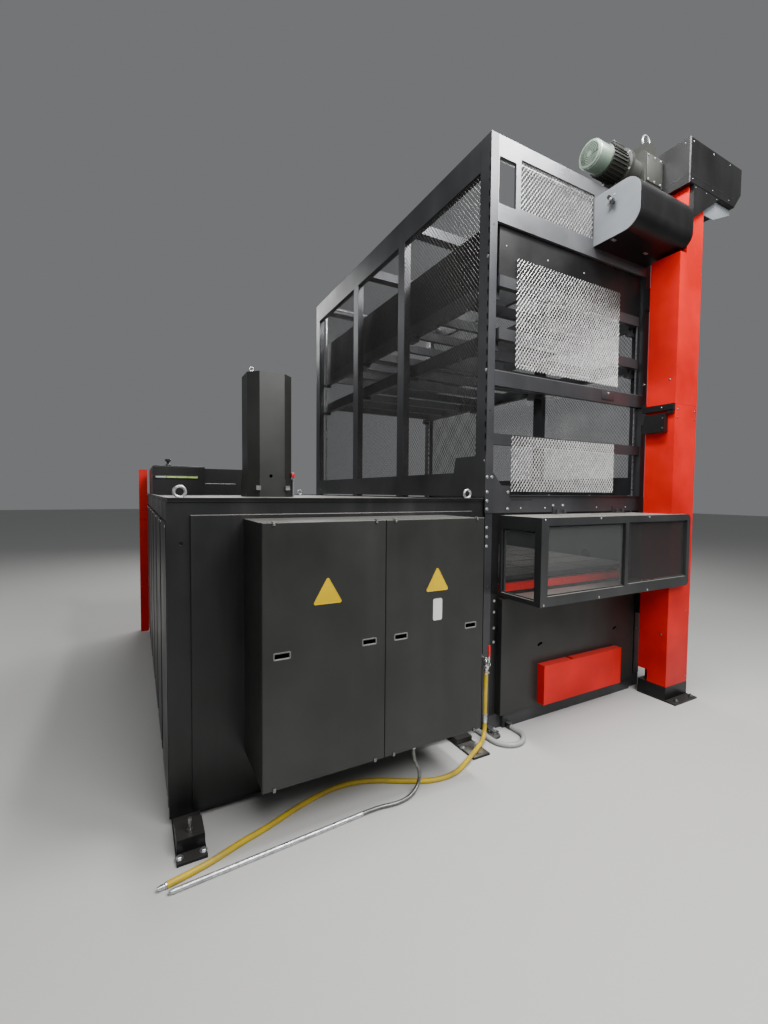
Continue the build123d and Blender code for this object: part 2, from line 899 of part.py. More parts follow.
shaft_rows = {
    "lift_shaft_front": chain_front[1] + sprocket_radius + running_gap,
    "lift_shaft_rear": chain_rear[0] - sprocket_radius - running_gap,
}
bearing = 6
for name, y in shaft_rows.items():
    with BuildPart() as lift_shaft:
        start = bay_left + bearing + running_gap
        length = bay_right - bearing - running_gap - start
        rod_along((1, 0, 0), start, y, shaft_level, shaft_radius, length)
        for across in chain_spans:
            rod_along((1, 0, 0), across[0], y, shaft_level, sprocket_radius, chain_width)
    finish(lift_shaft.part, name)

# Mast: a red square column in two lengths, notched at the top for the drum hood
with BuildPart() as mast_lower:
    with BuildSketch(top_view(plinth_top)):
        rect((mast_left, mast_right), (-mast_front, -mast_back))
        rect(
            (mast_left + mast_wall, mast_right - mast_wall),
            (-mast_front + mast_wall, -mast_back - mast_wall),
            mode=Mode.SUBTRACT,
        )
    extrude(amount=mast_seam - 1 - plinth_top)
    notch_y = (-mast_back - foot_notch_depth, -mast_back)
    notch_z = (plinth_top, plinth_top + foot_notch)
    block((mast_left, mast_left + foot_notch), notch_y, notch_z, Mode.SUBTRACT)
finish(mast_lower.part, "mast_lower")

with BuildPart() as mast_upper:
    with BuildSketch(top_view(mast_seam)):
        rect((mast_left, mast_right), (-mast_front, -mast_back))
        rect(
            (mast_left + mast_wall, mast_right - mast_wall),
            (-mast_front + mast_wall, -mast_back - mast_wall),
            mode=Mode.SUBTRACT,
        )
    extrude(amount=tower_height - mast_seam)
    block(
        (mast_left, drum_right + mast_wall),
        (-mast_front, -mast_back),
        (drum_bottom - 20, tower_height),
        Mode.SUBTRACT,
    )
    block(
        (drum_right + mast_wall, drum_right + 2 * mast_wall),
        (-mast_front + mast_wall, -mast_back - mast_wall),
        (drum_bottom - 20, tower_height),
    )
finish(mast_upper.part, "mast_upper")

# Brackets: bearing plates for the two lift shafts, and the arms between mast and tower
arm_width = 60
arm_levels = (600, mast_seam - 120, tower_height - 780)
with BuildPart() as tower_brackets:
    for y in shaft_rows.values():
        deep = side_beam_width if y > post_depth else post_width
        along = (y - 30, y + 30)
        up = (shaft_level - 30, shaft_level + 30)
        block((tower_left + deep, bay_left + bearing), along, up)
        block((bay_right - bearing, tower_right - deep), along, up)
    for level in arm_levels:
        block((bay_right, bay_right + arm_width), (-mast_back, 0), (level, level + 160))
finish(tower_brackets.part, "tower_brackets")

# Plinth under the mast and its anchor plate
with BuildPart() as mast_foot:
    with BuildSketch(top_view(0)):
        rect((mast_left - 4, mast_right + 4), (-mast_foot_front, -mast_back))
    extrude(amount=foot_plate)
    with BuildSketch(top_view(foot_plate)):
        rect((mast_left, mast_right), (-mast_front, -mast_back))
    extrude(amount=plinth_top - foot_plate)
finish(mast_foot.part, "mast_foot")

# Sensor box with a wedge-shaped back, its bar and its plug, on the left face of the mast
sensor_out = 45
sensor_top = mast_seam - 72
sensor_bottom = mast_seam - 207
sensor_front = -mast_front + 50
bar_rear = -mast_back + 19
with BuildPart() as mast_sensor:
    with BuildSketch(side_view(mast_left - sensor_out)):
        with BuildLine():
            Polyline(
                (sensor_front, sensor_bottom),
                (bar_rear - 10, sensor_bottom),
                (bar_rear - 34, sensor_top),
                (sensor_front, sensor_top),
                close=True,
            )
        make_face()
    extrude(amount=sensor_out)
    block((mast_left - 24, mast_left), (-mast_front, bar_rear), (mast_seam - 46, mast_seam - 2))
    plug = (-mast_front + 4, sensor_front - 4)
    block((mast_left - 20, mast_left), plug, (sensor_top, sensor_top + 24))
finish(mast_sensor.part, "mast_sensor")

# Hood over the hoist drum: a folded sheet with a round nose, closed by an end plate


def drum_outline(shrink=0):
    """The hood seen from its end, a box with a large round nose at the front."""
    rect((-drum_reach + shrink, 0), (drum_bottom + shrink, drum_top - shrink))


with BuildPart() as drum_hood:
    with BuildSketch(side_view(drum_left)) as hood_end:
        drum_outline()
        fillet(hood_end.vertices().group_by(Axis.X)[0], drum_nose)
    extrude(amount=drum_right - drum_left)
    offset(amount=-drum_wall, openings=drum_hood.faces().sort_by(Axis.X)[0])
finish(drum_hood.part, "drum_hood")

with BuildPart() as drum_end_plate:
    with BuildSketch(side_view(drum_left - end_plate)) as plate_outline:
        drum_outline()
        fillet(plate_outline.vertices().group_by(Axis.X)[0], drum_nose)
    extrude(amount=end_plate)
finish(drum_end_plate.part, "drum_end_plate")

# Lock on the end plate: a slanted turning handle on a short spindle
lock_front = -148
lock_level = drum_bottom + 243
lock_tilt = 57
with BuildPart() as drum_lock:
    rod_along((-1, 0, 0), drum_left - end_plate - running_gap, lock_front, lock_level, 14, 16)
    bar_left = drum_left - end_plate - running_gap - 30
    with BuildSketch(side_view(bar_left)):
        with Locations((lock_front, lock_level)):
            SlotOverall(84, 24, rotation=lock_tilt)
    extrude(amount=14)
finish(drum_lock.part, "drum_lock")

# Box over the drive chain, on top of the mast, with one corner cut off
drive_top = tower_height + 1 + drive_height
with BuildPart() as drive_box:
    with BuildSketch(front_view(drive_back)):
        with BuildLine():
            Polyline(
                (drive_left, tower_height + 1),
                (drive_right - drive_chamfer_width, tower_height + 1),
                (drive_right, tower_height + 1 + drive_chamfer_height),
                (drive_right, drive_top),
                (drive_left, drive_top),
                close=True,
            )
        make_face()
    extrude(amount=drive_back + drive_front)
    fillet(drive_box.faces().sort_by(Axis.Y)[0].edges(), 8)
finish(drive_box.part, "drive_box")

# Black shroud over the top of the mast, a tray with a slanted lower edge
shroud_depth = drive_front - mast_front - weld_gap
with BuildPart() as mast_shroud:
    with BuildSketch(front_view(-mast_front - weld_gap)):
        with BuildLine():
            Polyline(
                (shroud_left, tower_height),
                (shroud_left, shroud_bottom),
                (shroud_right, tower_height - 5),
                (shroud_right, tower_height),
                close=True,
            )
        make_face()
    extrude(amount=shroud_depth)
finish(mast_shroud.part, "mast_shroud")

# Grey stay plate that hangs from the drive box
stay_bottom = tower_height - 138
with BuildPart() as drive_stay:
    with BuildSketch(front_view(-drive_front + 40)):
        with BuildLine():
            Polyline(
                (mast_right, tower_height),
                (mast_right, stay_bottom),
                (mast_right + 134, stay_bottom),
                (drive_right - drive_chamfer_width, tower_height - 40),
                (drive_right - drive_chamfer_width, tower_height),
                close=True,
            )
        make_face()
    extrude(amount=6)
    block(
        (mast_right, drive_right - drive_chamfer_width),
        (-drive_front + 34, -drive_front + 74),
        (tower_height - 5, tower_height + 1),
    )
finish(drive_stay.part, "drive_stay")

# Hoist motor: fan cover, ribbed body and flange turned about one axis
motor_steps = (
    (0, fan_radius - 14),
    (12, fan_radius),
    (130, fan_radius),
    (134, motor_radius),
    (296, motor_radius),
    (300, flange_radius),
    (330, flange_radius),
)
motor_end = motor_left + motor_steps[-1][0]
gear_left = motor_end + 130
gear_bottom = motor_axis_level - 110
gear_top = motor_axis_level + 128
gear_block_top = motor_axis_level + 260
with BuildPart() as hoist_motor:
    with BuildSketch(front_view(-motor_axis_front)):
        with BuildLine():
            Polyline(
                (motor_left, motor_axis_level),
                *((motor_left + run, motor_axis_level + out) for run, out in motor_steps),
                (motor_end, motor_axis_level),
                close=True,
            )
        make_face()
    axis_start = (left + motor_left, front - motor_axis_front, motor_axis_level)
    revolve(axis=Axis(axis_start, (1, 0, 0)))
    block(
        (motor_left + 200, motor_end),
        (-motor_axis_front - 45, -motor_axis_front + 45),
        (motor_axis_level + 80, motor_axis_level + 130),
    )
finish(hoist_motor.part, "hoist_motor")

with BuildPart() as gearbox:
    rod_along((1, 0, 0), motor_end, -motor_axis_front, motor_axis_level, 95, 130)
    block((gear_left, drive_left), (-130, 90), (gear_bottom, gear_top))
    fillet(gearbox.edges().filter_by(Axis.X), 20)
    block((drive_left - 110, drive_left), (-70, 30), (gear_top, gear_block_top))
finish(gearbox.part, "gearbox")

# Lifting eyes, each a round collar with a ring that faces the front: four on the body,
# a small one on the column and a large one on the gearbox
eye_reach = rim_width + 20
eyes = [
    (x, y, deck, 18, eye_ring, eye_wire)
    for x in (eye_inset, body_width - eye_inset - 54)
    for y in (eye_reach, body_length - eye_reach)
]
eyes.append((column_left + 33, column_front + column_corner + 12, deck + column_height, 11, 14, 4))
eyes.append((drive_left - 40, -motor_axis_front, gear_block_top, 18, 42, 6.5))
eye_neck = 10
with BuildPart() as lifting_eyes:
    for x, y, seat, collar, ring_radius, wire in eyes:
        ring_level = seat + eye_neck + ring_radius
        rod_along((0, 0, 1), x, y, seat, collar, eye_neck)
        with Locations(Plane(origin=(left + x, front + y, ring_level), z_dir=(0, -1, 0))):
            Torus(ring_radius, wire)
finish(lifting_eyes.part, "lifting_eyes")

# Bolts: the levelling screw with its nut, the collar's two bolts with square heads, and
# the two anchors of the mast's foot
collar_front = column_front - collar_wall
bolt_head = 32
with BuildPart() as machine_bolts:
    middle = left_foot + foot_width / 2
    length = screw_top - foot_plate
    rod_along((0, 0, 1), middle, -screw_reach, foot_plate, screw_radius, length)
    with BuildSketch(top_view(frame_bottom + nose_plate)):
        with Locations((middle, -screw_reach)):
            RegularPolygon(14, 6)
    extrude(amount=13)
    for x in (column_middle[0] - 105, column_middle[0] + 105):
        rod_along((0, -1, 0), x, collar_front, deck + 65, 9, 14)
        with BuildSketch(front_view(collar_front - 14)):
            with Locations((x, deck + 65)):
                Rectangle(bolt_head, bolt_head)
        extrude(amount=8)
    for x in (mast_left + 45, mast_right - 45):
        rod_along((0, 0, 1), x, -mast_foot_front + 22, foot_plate, screw_radius, 24)
        with BuildSketch(top_view(foot_plate)):
            with Locations((x, -mast_foot_front + 22)):
                RegularPolygon(14, 6)
        extrude(amount=12)
finish(machine_bolts.part, "machine_bolts")

# Window guard: a front frame and a side frame of tube, a top and a bottom sheet
guard_middle = (guard_left + guard_right) / 2
clear_window = ((guard_left + 60, guard_middle + 11), (guard_bottom + 60, guard_top - 48))
tinted_window = ((guard_middle + 45, guard_right - 40), (guard_bottom + 70, guard_top - 45))
guard_windows = (clear_window, tinted_window)
side_window = ((-guard_reach + 50, -20), (guard_bottom + 30, guard_top - 85))
with BuildPart() as guard_frame:
    with BuildSketch(front_view(-guard_reach + guard_tube)) as guard_outline:
        rect((guard_left, guard_right), (guard_bottom, guard_top))
        fillet(guard_outline.vertices().group_by(Axis.X)[-1], guard_corner)
        for window_x, window_z in guard_windows:
            rect(window_x, window_z, mode=Mode.SUBTRACT)
    extrude(amount=guard_tube)
    behind = -guard_reach + guard_tube + weld_gap
    with BuildSketch(side_view(guard_left)):
        rect((behind, 0), (guard_bottom, guard_top))
        rect(*side_window, mode=Mode.SUBTRACT)
    extrude(amount=guard_tube)
    inner_x = (guard_left + guard_tube + weld_gap, mast_left - weld_gap)
    block(inner_x, (behind, 0), (guard_top - 12, guard_top))
    block(inner_x, (behind, -access_depth), (guard_bottom, guard_bottom + 12))
finish(guard_frame.part, "guard_frame")

with BuildPart() as guard_pane_clear:
    middle = -guard_reach + guard_tube / 2
    block(clear_window[0], (middle - pane / 2, middle + pane / 2), clear_window[1])
    middle = guard_left + guard_tube / 2
    block((middle - pane / 2, middle + pane / 2), *side_window)
finish(guard_pane_clear.part, "guard_pane_clear")

with BuildPart() as guard_pane_tinted:
    middle = -guard_reach + guard_tube / 2
    block(tinted_window[0], (middle - pane / 2, middle + pane / 2), tinted_window[1])
finish(guard_pane_tinted.part, "guard_pane_tinted")

with BuildPart() as guard_brackets:
    for x in (guard_left + 480, guard_right - 420):
        block((x, x + 130), (-36, -6), (guard_top, guard_top + 6))
        block((x, x + 130), (-6, 0), (guard_top, sill_bottom + 40))
        for bolt_x in (x + 30, x + 100):
            rod_along((0, 0, 1), bolt_x, -22, guard_top + 6, 9, 26)
finish(guard_brackets.part, "guard_brackets")

# Cover of the lower front with two small slots, one beyond each end of the red box
panel_slots = (
    (red_box_left + 17, red_box_top + 132),
    (red_box_right - 2, red_box_top + 135),
)
with BuildPart() as access_panel:
    with BuildSketch(front_view(0)):
        rect((access_left, access_right), (access_bottom, access_top))
        with Locations(*panel_slots):
            SlotOverall(46, 20, rotation=20, mode=Mode.SUBTRACT)
    extrude(amount=access_depth)
    fillet(access_panel.faces().sort_by(Axis.Y)[0].outer_wire().edges(), 4)
    block(
        (access_left + 4, access_right - 4),
        (-access_depth + 4, 0),
        (access_bottom + 4, access_top - 4),
        Mode.SUBTRACT,
    )
finish(access_panel.part, "access_panel")

with BuildPart() as red_box:
    with BuildSketch(front_view(-access_depth)):
        rect((red_box_left, red_box_right), (red_box_bottom, red_box_top))
    extrude(amount=red_box_depth)
    fillet(red_box.faces().sort_by(Axis.Y)[0].edges(), 3)
    notch = red_box_left + (red_box_right - red_box_left) / 3
    block(
        (notch, notch + 30),
        (-access_depth - red_box_depth + 12, -access_depth),
        (red_box_top - 12, red_box_top),
        Mode.SUBTRACT,
    )
finish(red_box.part, "red_box")

# Compressed air inlet: an elbow from the wall, the valve body and its red lever
valve_front = -valve_out
with BuildPart() as air_valve:
    rod_along((0, -1, 0), valve_across, panel_proud, valve_level + 25, 11, valve_out + 12)
    rod_along((0, 0, -1), valve_across, valve_front, valve_level + 40, 14, 90)
    rod_along((0, -1, 0), valve_across, valve_front - 10, valve_level, 7, 12)
    with BuildSketch(top_view(valve_level - 30)):
        with Locations((valve_across, valve_front)):
            RegularPolygon(19, 6)
    extrude(amount=24)
finish(air_valve.part, "air_valve")

lever_plane = front_view(valve_front - 22 - running_gap)
with BuildPart() as valve_lever:
    with BuildSketch(lever_plane):
        with Locations((valve_across, valve_level)):
            Circle(12)
        with Locations((valve_across, valve_level + 62)):
            SlotOverall(124, 18, rotation=90)
    extrude(amount=6)
finish(valve_lever.part, "valve_lever")


def route(points):
    """The radius of each bend: as large as its two runs allow."""
    radii = []
    for before, corner, after in zip(points[:-2], points[1:-1], points[2:]):
        run_in = Vector(*corner) - Vector(*before)
        run_out = Vector(*after) - Vector(*corner)
        half_turn = radians(run_in.get_angle(run_out)) / 2
        radii.append(0.45 * min(run_in.length, run_out.length) / tan(half_turn))
    return radii


def cord(points, radius):
    """A round tube along straight runs that are joined by bends."""
    placed = [(left + x, front + y, z) for x, y, z in points]
    radii = route(placed)
    print("bend radii", [round(value) for value in radii])
    with BuildPart() as tube:
        with BuildLine() as path:
            FilletPolyline(*placed, radius=radii)
        with BuildSketch(Plane(origin=path.line @ 0, z_dir=path.line % 0)):
            Circle(radius)
        sweep()
    straight = sum(edge.length for edge in path.line.edges()) * pi * radius**2
    print("volume against section times length", round(tube.part.volume / straight, 4))
    return tube.part


# Air hose: a short length hangs from the valve to a coupling, a long one lies on the floor
hose_level = hose_radius + 0.5
valve_bottom = valve_level - 50
coupling_x = body_width - 40
coupling_front = -82
coupling_top = 175
coupling_length = 60
coupling_bottom = coupling_top - coupling_length
drop_points = [
    (valve_across, valve_front, valve_bottom),
    (valve_across, valve_front, 345),
    (coupling_x, coupling_front, 262),
    (coupling_x, coupling_front, coupling_top),
]
finish(cord(drop_points, hose_radius), "air_hose_drop")

# The hose lies in waves, given by its distance in front of the body at even steps.
over_foot = foot_plate + hose_level + 4
hose_waves = (152, 232, 292, 284, 211, 124, 86, 104, 149, 208, 250, 308, 334)
wave_start = coupling_x - 100
hose_end_x = -30
wave_step = (wave_start - hose_end_x) / (len(hose_waves) - 1)
hose_points = [
    (coupling_x, coupling_front, coupling_bottom),
    (coupling_x, coupling_front, 68),
    (coupling_x - 32, -110, over_foot + 4),
]
for number, wave in enumerate(hose_waves):
    level = over_foot if number < 2 else hose_level
    hose_points.append((wave_start - wave_step * number, -wave, level))
finish(cord(hose_points, hose_radius), "air_hose")

# Conduit: a flexible length from the cabinet down to the floor, then a rigid pipe
gland_x = cabinet_left + 792
gland_front = -cabinet_depth + 50
gland_length = 48
gland_top = cabinet_bottom + shell_inset
conduit_level = conduit_radius + 0.5
pipe_start = (gland_x - 365, -333)
pipe_end = (-12, -372)
sleeve_length = 60
pipe_run = Vector(pipe_end[0] - pipe_start[0], pipe_end[1] - pipe_start[1], 0)
pipe_direction = pipe_run.normalized()
sleeve_start = Vector(*pipe_start, conduit_level) - pipe_direction * sleeve_length
before_sleeve = sleeve_start - pipe_direction * 90
flexible_points = [
    (gland_x, gland_front, gland_top - gland_length),
    (gland_x, gland_front, 180),
    (gland_x + 42, gland_front - 4, 105),
    (gland_x + 26, gland_front - 14, 40),
    (gland_x - 40, gland_front - 38, conduit_level),
    (gland_x - 125, gland_front - 50, conduit_level),
    tuple(before_sleeve),
    tuple(sleeve_start),
]
finish(cord(flexible_points, conduit_radius), "flexible_conduit")

with BuildPart() as rigid_conduit:
    rod_along(pipe_direction, *pipe_start, conduit_level, conduit_radius, pipe_run.length)
finish(rigid_conduit.part, "rigid_conduit")

# Loop of corrugated cable hose between the body and the tower's plinth
loop_level = loop_radius + 0.5
loop_box = 40
loop_start = (body_width - 18, 18)
loop_end = (tower_left + 202, -20 - loop_box)
loop_points = [
    (*loop_start, loop_level),
    (loop_start[0], -74, loop_level),
    (loop_start[0] + 3, -166, loop_level),
    (loop_start[0] + 69, -232, loop_level),
    (loop_end[0] - 63, -232, loop_level),
    (loop_end[0] + 3, -166, loop_level),
    (loop_end[0], -110, loop_level),
    (*loop_end, loop_level),
]
finish(cord(loop_points, loop_radius), "cable_loop")

# Fittings on the lines: gland, couplings, pipe clamp, end plugs and loop sockets
sleeve = (sleeve_start.X, sleeve_start.Y, conduit_level)
clamp_spot = Vector(*pipe_start, conduit_level) + pipe_direction * 472
hose_end = Vector(*hose_points[-1]) - Vector(*hose_points[-2])
loop_half = loop_radius + 3
with BuildPart() as line_fittings:
    rod_along((0, 0, -1), gland_x, gland_front, gland_top, 16, gland_length)
    rod_along(pipe_direction, *sleeve, conduit_radius, sleeve_length)
    rod_along((0, 0, -1), coupling_x, coupling_front, coupling_top, 16, coupling_length)
    rod_along(pipe_direction, *pipe_end, conduit_level, conduit_radius - 2, 14)
    rod_along(hose_end, *hose_points[-1], hose_radius - 2, 34)
    with Locations(Plane(origin=Vector(left, front, 0) + clamp_spot, z_dir=pipe_direction)):
        Cylinder(conduit_radius + 4, 14)
        Cylinder(conduit_radius, 14, mode=Mode.SUBTRACT)
    block(
        (clamp_spot.X - 7, clamp_spot.X + 7),
        (clamp_spot.Y - 30, clamp_spot.Y - conduit_radius - 1),
        (0, 5),
    )
    block(
        (clamp_spot.X - 20, clamp_spot.X + 20),
        (clamp_spot.Y - 20, clamp_spot.Y + 20),
        (-20, 0),
        Mode.SUBTRACT,
    )
    for x, y in (loop_start, loop_end):
        block((x - loop_half, x + loop_half), (y, y + loop_box), (0, 2 * loop_half))
finish(line_fittings.part, "line_fittings")
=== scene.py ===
import math

import bmesh
import bpy
from mathutils import Matrix, Vector


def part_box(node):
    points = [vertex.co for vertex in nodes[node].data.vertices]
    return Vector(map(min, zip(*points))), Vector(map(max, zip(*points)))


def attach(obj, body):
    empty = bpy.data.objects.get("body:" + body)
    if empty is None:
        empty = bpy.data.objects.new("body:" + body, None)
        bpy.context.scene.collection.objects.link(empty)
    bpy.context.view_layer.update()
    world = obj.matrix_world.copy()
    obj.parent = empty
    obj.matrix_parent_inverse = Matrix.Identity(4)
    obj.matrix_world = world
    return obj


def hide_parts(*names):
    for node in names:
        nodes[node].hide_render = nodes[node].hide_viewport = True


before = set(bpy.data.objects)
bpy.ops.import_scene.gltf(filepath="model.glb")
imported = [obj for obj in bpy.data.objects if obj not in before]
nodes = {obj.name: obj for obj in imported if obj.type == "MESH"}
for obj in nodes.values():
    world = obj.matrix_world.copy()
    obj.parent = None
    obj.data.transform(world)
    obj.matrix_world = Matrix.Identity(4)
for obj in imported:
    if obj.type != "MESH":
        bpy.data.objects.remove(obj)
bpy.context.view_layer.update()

# Camera: a phone held level at eye height before the machine's left front corner and turned
# to the right, with its widest lens. The angles were solved from the machine's long edges.
eye = bpy.data.cameras.new("eye")
eye.sensor_fit = "VERTICAL"
eye.sensor_height = 36
eye.lens = 16.09
eye.clip_end = 100
camera = bpy.data.objects.new("camera", eye)
camera.location = (-2.125, -3.796, 1.55)
camera.rotation_euler = [math.radians(turn) for turn in (87.575, -0.491, -28.537)]
bpy.context.scene.collection.objects.link(camera)
bpy.context.scene.camera = camera

# Floor and light: a plain pale floor, weak light all round, a large lamp high before the
# machine, two small strong ones for the tower's front and the drum, a weak one at the left and
# a wide one behind that draws the top edges.
floor_size = 40
floor_grey = (0.46, 0.455, 0.44, 1)
sky_grey = (0.72, 0.74, 0.76, 1)
sky_strength = 0.24


def set_inputs(node, inputs):
    """Give a node's unlinked inputs their values."""
    for name, value in inputs.items():
        node.inputs[name].default_value = value


def start_material(name, inputs):
    """A new material whose main shader has some unlinked inputs, and its node tree."""
    material = bpy.data.materials.new(name)
    material.use_nodes = True
    set_inputs(material.node_tree.nodes["Principled BSDF"], inputs)
    return material, material.node_tree


shape = bmesh.new()
bmesh.ops.create_grid(shape, x_segments=1, y_segments=1, size=floor_size)
floor_mesh = bpy.data.meshes.new("floor")
shape.to_mesh(floor_mesh)
shape.free()
floor_paint = start_material("floor_paint", {"Base Color": floor_grey, "Roughness": 0.6})[0]
floor_mesh.materials.append(floor_paint)
floor = bpy.data.objects.new("floor", floor_mesh)
bpy.context.scene.collection.objects.link(floor)

sky = bpy.data.worlds.new("sky")
sky.use_nodes = True
set_inputs(sky.node_tree.nodes["Background"], {"Color": sky_grey, "Strength": sky_strength})
bpy.context.scene.world = sky


def add_lamp(name, place, aim, width, length, power):
    """A flat lamp that faces the point that it lights."""
    light = bpy.data.lights.new(name, "AREA")
    light.shape = "RECTANGLE"
    light.size = width
    light.size_y = length
    light.energy = power
    lamp = bpy.data.objects.new(name, light)
    lamp.location = place
    lamp.rotation_euler = (Vector(aim) - Vector(place)).to_track_quat("-Z", "Y").to_euler()
    lamp.visible_camera = False
    bpy.context.scene.collection.objects.link(lamp)


add_lamp("front_lamp", (-0.4, -5.2, 4.6), aim=(0.3, -1, 0.6), width=5, length=2.5, power=360)
add_lamp("tower_lamp", (-0.3, -2.0, 5.2), aim=(1.2, -1.65, 2.6), width=1.4, length=0.5, power=200)
add_lamp("tube_lamp", (1.1, -3.2, 5.3), aim=(0.1, -1.6, 3.2), width=1.6, length=0.8, power=200)
add_lamp("side_lamp", (-6, 1.5, 4), aim=(-1, 0, 1), width=3, length=3, power=40)
add_lamp("rear_lamp", (1.5, 5.5, 5.5), aim=(0, 0, 1.5), width=7, length=2, power=420)

# Sheet metal of the body, the cabinet, the column and the tower's front cover: folded steel
# with a charcoal powder coat that was sprayed and baked, and dust on what faces up. The body's
# copy of the coat is painted darker as painted shade, and its tops lighter as a painted sheen.
# All places below are given from the body's left front corner on the floor.
corner = Vector((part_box("top_cover")[0][0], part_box("top_cover")[0][1], 0))


def add_node(tree, kind, inputs=None, **settings):
    """A shader node with some of its settings and unlinked values."""
    node = tree.nodes.new(kind)
    for name, value in settings.items():
        setattr(node, name, value)
    set_inputs(node, inputs or {})
    return node


def blend_colour(tree, factor, first, second):
    """A colour mix, where each colour is a value or another node's output."""
    mix = add_node(tree, "ShaderNodeMix", data_type="RGBA")
    tree.links.new(factor, mix.inputs[0])
    for socket, colour in ((mix.inputs[6], first), (mix.inputs[7], second)):
        if isinstance(colour, tuple):
            socket.default_value = (*colour, 1)
        else:
            tree.links.new(colour, socket)
    return mix.outputs[2]


def noise(tree, scale, detail=3, stretch=(1, 1, 1)):
    """Noise on the object's own coordinates, in metres, drawn out along an axis."""
    where = add_node(tree, "ShaderNodeTexCoord")
    mapping = add_node(tree, "ShaderNodeMapping", {"Scale": stretch})
    tree.links.new(where.outputs["Object"], mapping.inputs["Vector"])
    grain = add_node(tree, "ShaderNodeTexNoise", {"Scale": scale, "Detail": detail})
    tree.links.new(mapping.outputs["Vector"], grain.inputs["Vector"])
    return grain.outputs["Fac"]


def span(tree, value, low, high, to_low=0, to_high=1):
    """A value moved from one range to another and held inside it."""
    inputs = {"From Min": low, "From Max": high, "To Min": to_low, "To Max": to_high}
    node = add_node(tree, "ShaderNodeMapRange", inputs)
    tree.links.new(value, node.inputs["Value"])
    return node.outputs["Result"]


def facing_up(tree):
    """One on what faces up, nothing on walls."""
    where = add_node(tree, "ShaderNodeTexCoord")
    parts = add_node(tree, "ShaderNodeSeparateXYZ")
    tree.links.new(where.outputs["Normal"], parts.inputs[0])
    return span(tree, parts.outputs["Z"], 0.6, 0.95)


def multiply(tree, first, second):
    """The product of two values."""
    node = add_node(tree, "ShaderNodeMath", operation="MULTIPLY")
    for socket, value in zip(node.inputs, (first, second)):
        if isinstance(value, (int, float)):
            socket.default_value = value
        else:
            tree.links.new(value, socket)
    return node.outputs[0]


def link_look(tree, base, rough):
    """Link a colour and a roughness to the main shader."""
    shader = tree.nodes["Principled BSDF"]
    tree.links.new(base, shader.inputs["Base Color"])
    tree.links.new(rough, shader.inputs["Roughness"])


def add_bump(tree, height, strength, distance):
    """Small relief on the surface."""
    bump = add_node(tree, "ShaderNodeBump", {"Strength": strength, "Distance": distance})
    tree.links.new(height, bump.inputs["Height"])
    tree.links.new(bump.outputs["Normal"], tree.nodes["Principled BSDF"].inputs["Normal"])


dust_and_sheen_colour = (0.3, 0.285, 0.26)


def powder_coat(name, colour, roughness, dust_and_sheen=0.25, smudge=0.04, metallic=0.0, specular=0.5):
    """Baked paint: fine grain, soft smudges, faint streaks, dust and painted sheen on its tops.
    """
    inputs = {"Metallic": metallic, "Specular IOR Level": specular}
    material, tree = start_material(name, inputs)
    cloudy = span(tree, noise(tree, scale=2.2, detail=5), 0.35, 0.65)
    lighter = tuple(min(1, value * 1.25 + 0.004) for value in colour)
    darker = tuple(value * 0.85 for value in colour)
    base = blend_colour(tree, cloudy, darker, lighter)
    streaks = span(tree, noise(tree, scale=9, detail=4, stretch=(1, 1, 0.06)), 0.5, 0.8)
    base = blend_colour(tree, multiply(tree, streaks, smudge), base, dust_and_sheen_colour)
    # What faces up is lightened towards the dust colour: dust, and on the body's coat a painted
    # sheen where the lamps shine off the tops.
    patches = span(tree, noise(tree, scale=16, detail=6), 0.3, 0.7, 0.75, 1)
    dust_and_sheen_on_tops = multiply(tree, facing_up(tree), patches)
    base = blend_colour(tree, multiply(tree, dust_and_sheen_on_tops, dust_and_sheen), base, dust_and_sheen_colour)
    wear = noise(tree, scale=3.1, detail=6)
    wiped = span(tree, wear, 0.3, 0.7, roughness - 0.07, roughness + 0.1)
    link_look(tree, base, wiped)
    add_bump(tree, noise(tree, scale=700, detail=2), strength=0.12, distance=0.0004)
    return material


def dress(material, *names):
    """Give the frame's own nodes a finish."""
    for name in names:
        for place in nodes[name].material_slots:
            place.material = material


charcoal = powder_coat(
    "charcoal_coat", (0.014, 0.0147, 0.0132), roughness=0.4, smudge=0.015, specular=0.38
)
dress(charcoal, "cabinet_shell", "cabinet_cover_left", "cabinet_cover_right")
dress(charcoal, "octagonal_column", "column_collar", "access_panel")
# The body's coat is the cabinet's charcoal painted darker as painted shade; its heavy dust on
# what faces up also paints a sheen on its tops.
shaded_body_coat = powder_coat(
    "shaded_body_coat", (0.0075, 0.0078, 0.0078), roughness=0.36, dust_and_sheen=0.7, specular=0.35
)
dress(shaded_body_coat, "wall_sheets", "body_panels", "base_frame", "top_cover")

# Red paint of the mast, the corner post, the lift table and the box on the front cover: a
# thick bright coat that hides the steel's grain and the welds' edges.
red_coat = powder_coat(
    "red_coat", (0.5, 0.003, 0.001), roughness=0.4, dust_and_sheen=0.1, smudge=0.01, specular=0.2
)
dress(red_coat, "mast_lower", "mast_upper", "corner_post", "red_box", "lift_table")

# Tower: welded square tubes, beams and cassettes of dark grey painted steel with a harder
# sheen than the body, so that the lamps draw silver lines along its edges.
tower_coat = powder_coat(
    "tower_coat", (0.05, 0.051, 0.055), roughness=0.34, dust_and_sheen=0.3, metallic=0.6
)
dress(tower_coat, "tower_posts", "tower_beams", "tower_brackets", "tower_plates")
dress(tower_coat, "guard_brackets", "cassette_rails", "cassette_lower", "cassette_upper")

# Front frame of the tower: folded sheet that is bolted to the uprights. Its coat is the
# uprights' grey painted paler and brighter, as a painted sheen where the lamps light it.
lit_frame_coat = powder_coat(
    "lit_frame_coat", (0.12, 0.122, 0.128), roughness=0.33, dust_and_sheen=0.3, metallic=0.6
)
dress(lit_frame_coat, "front_top_frame")

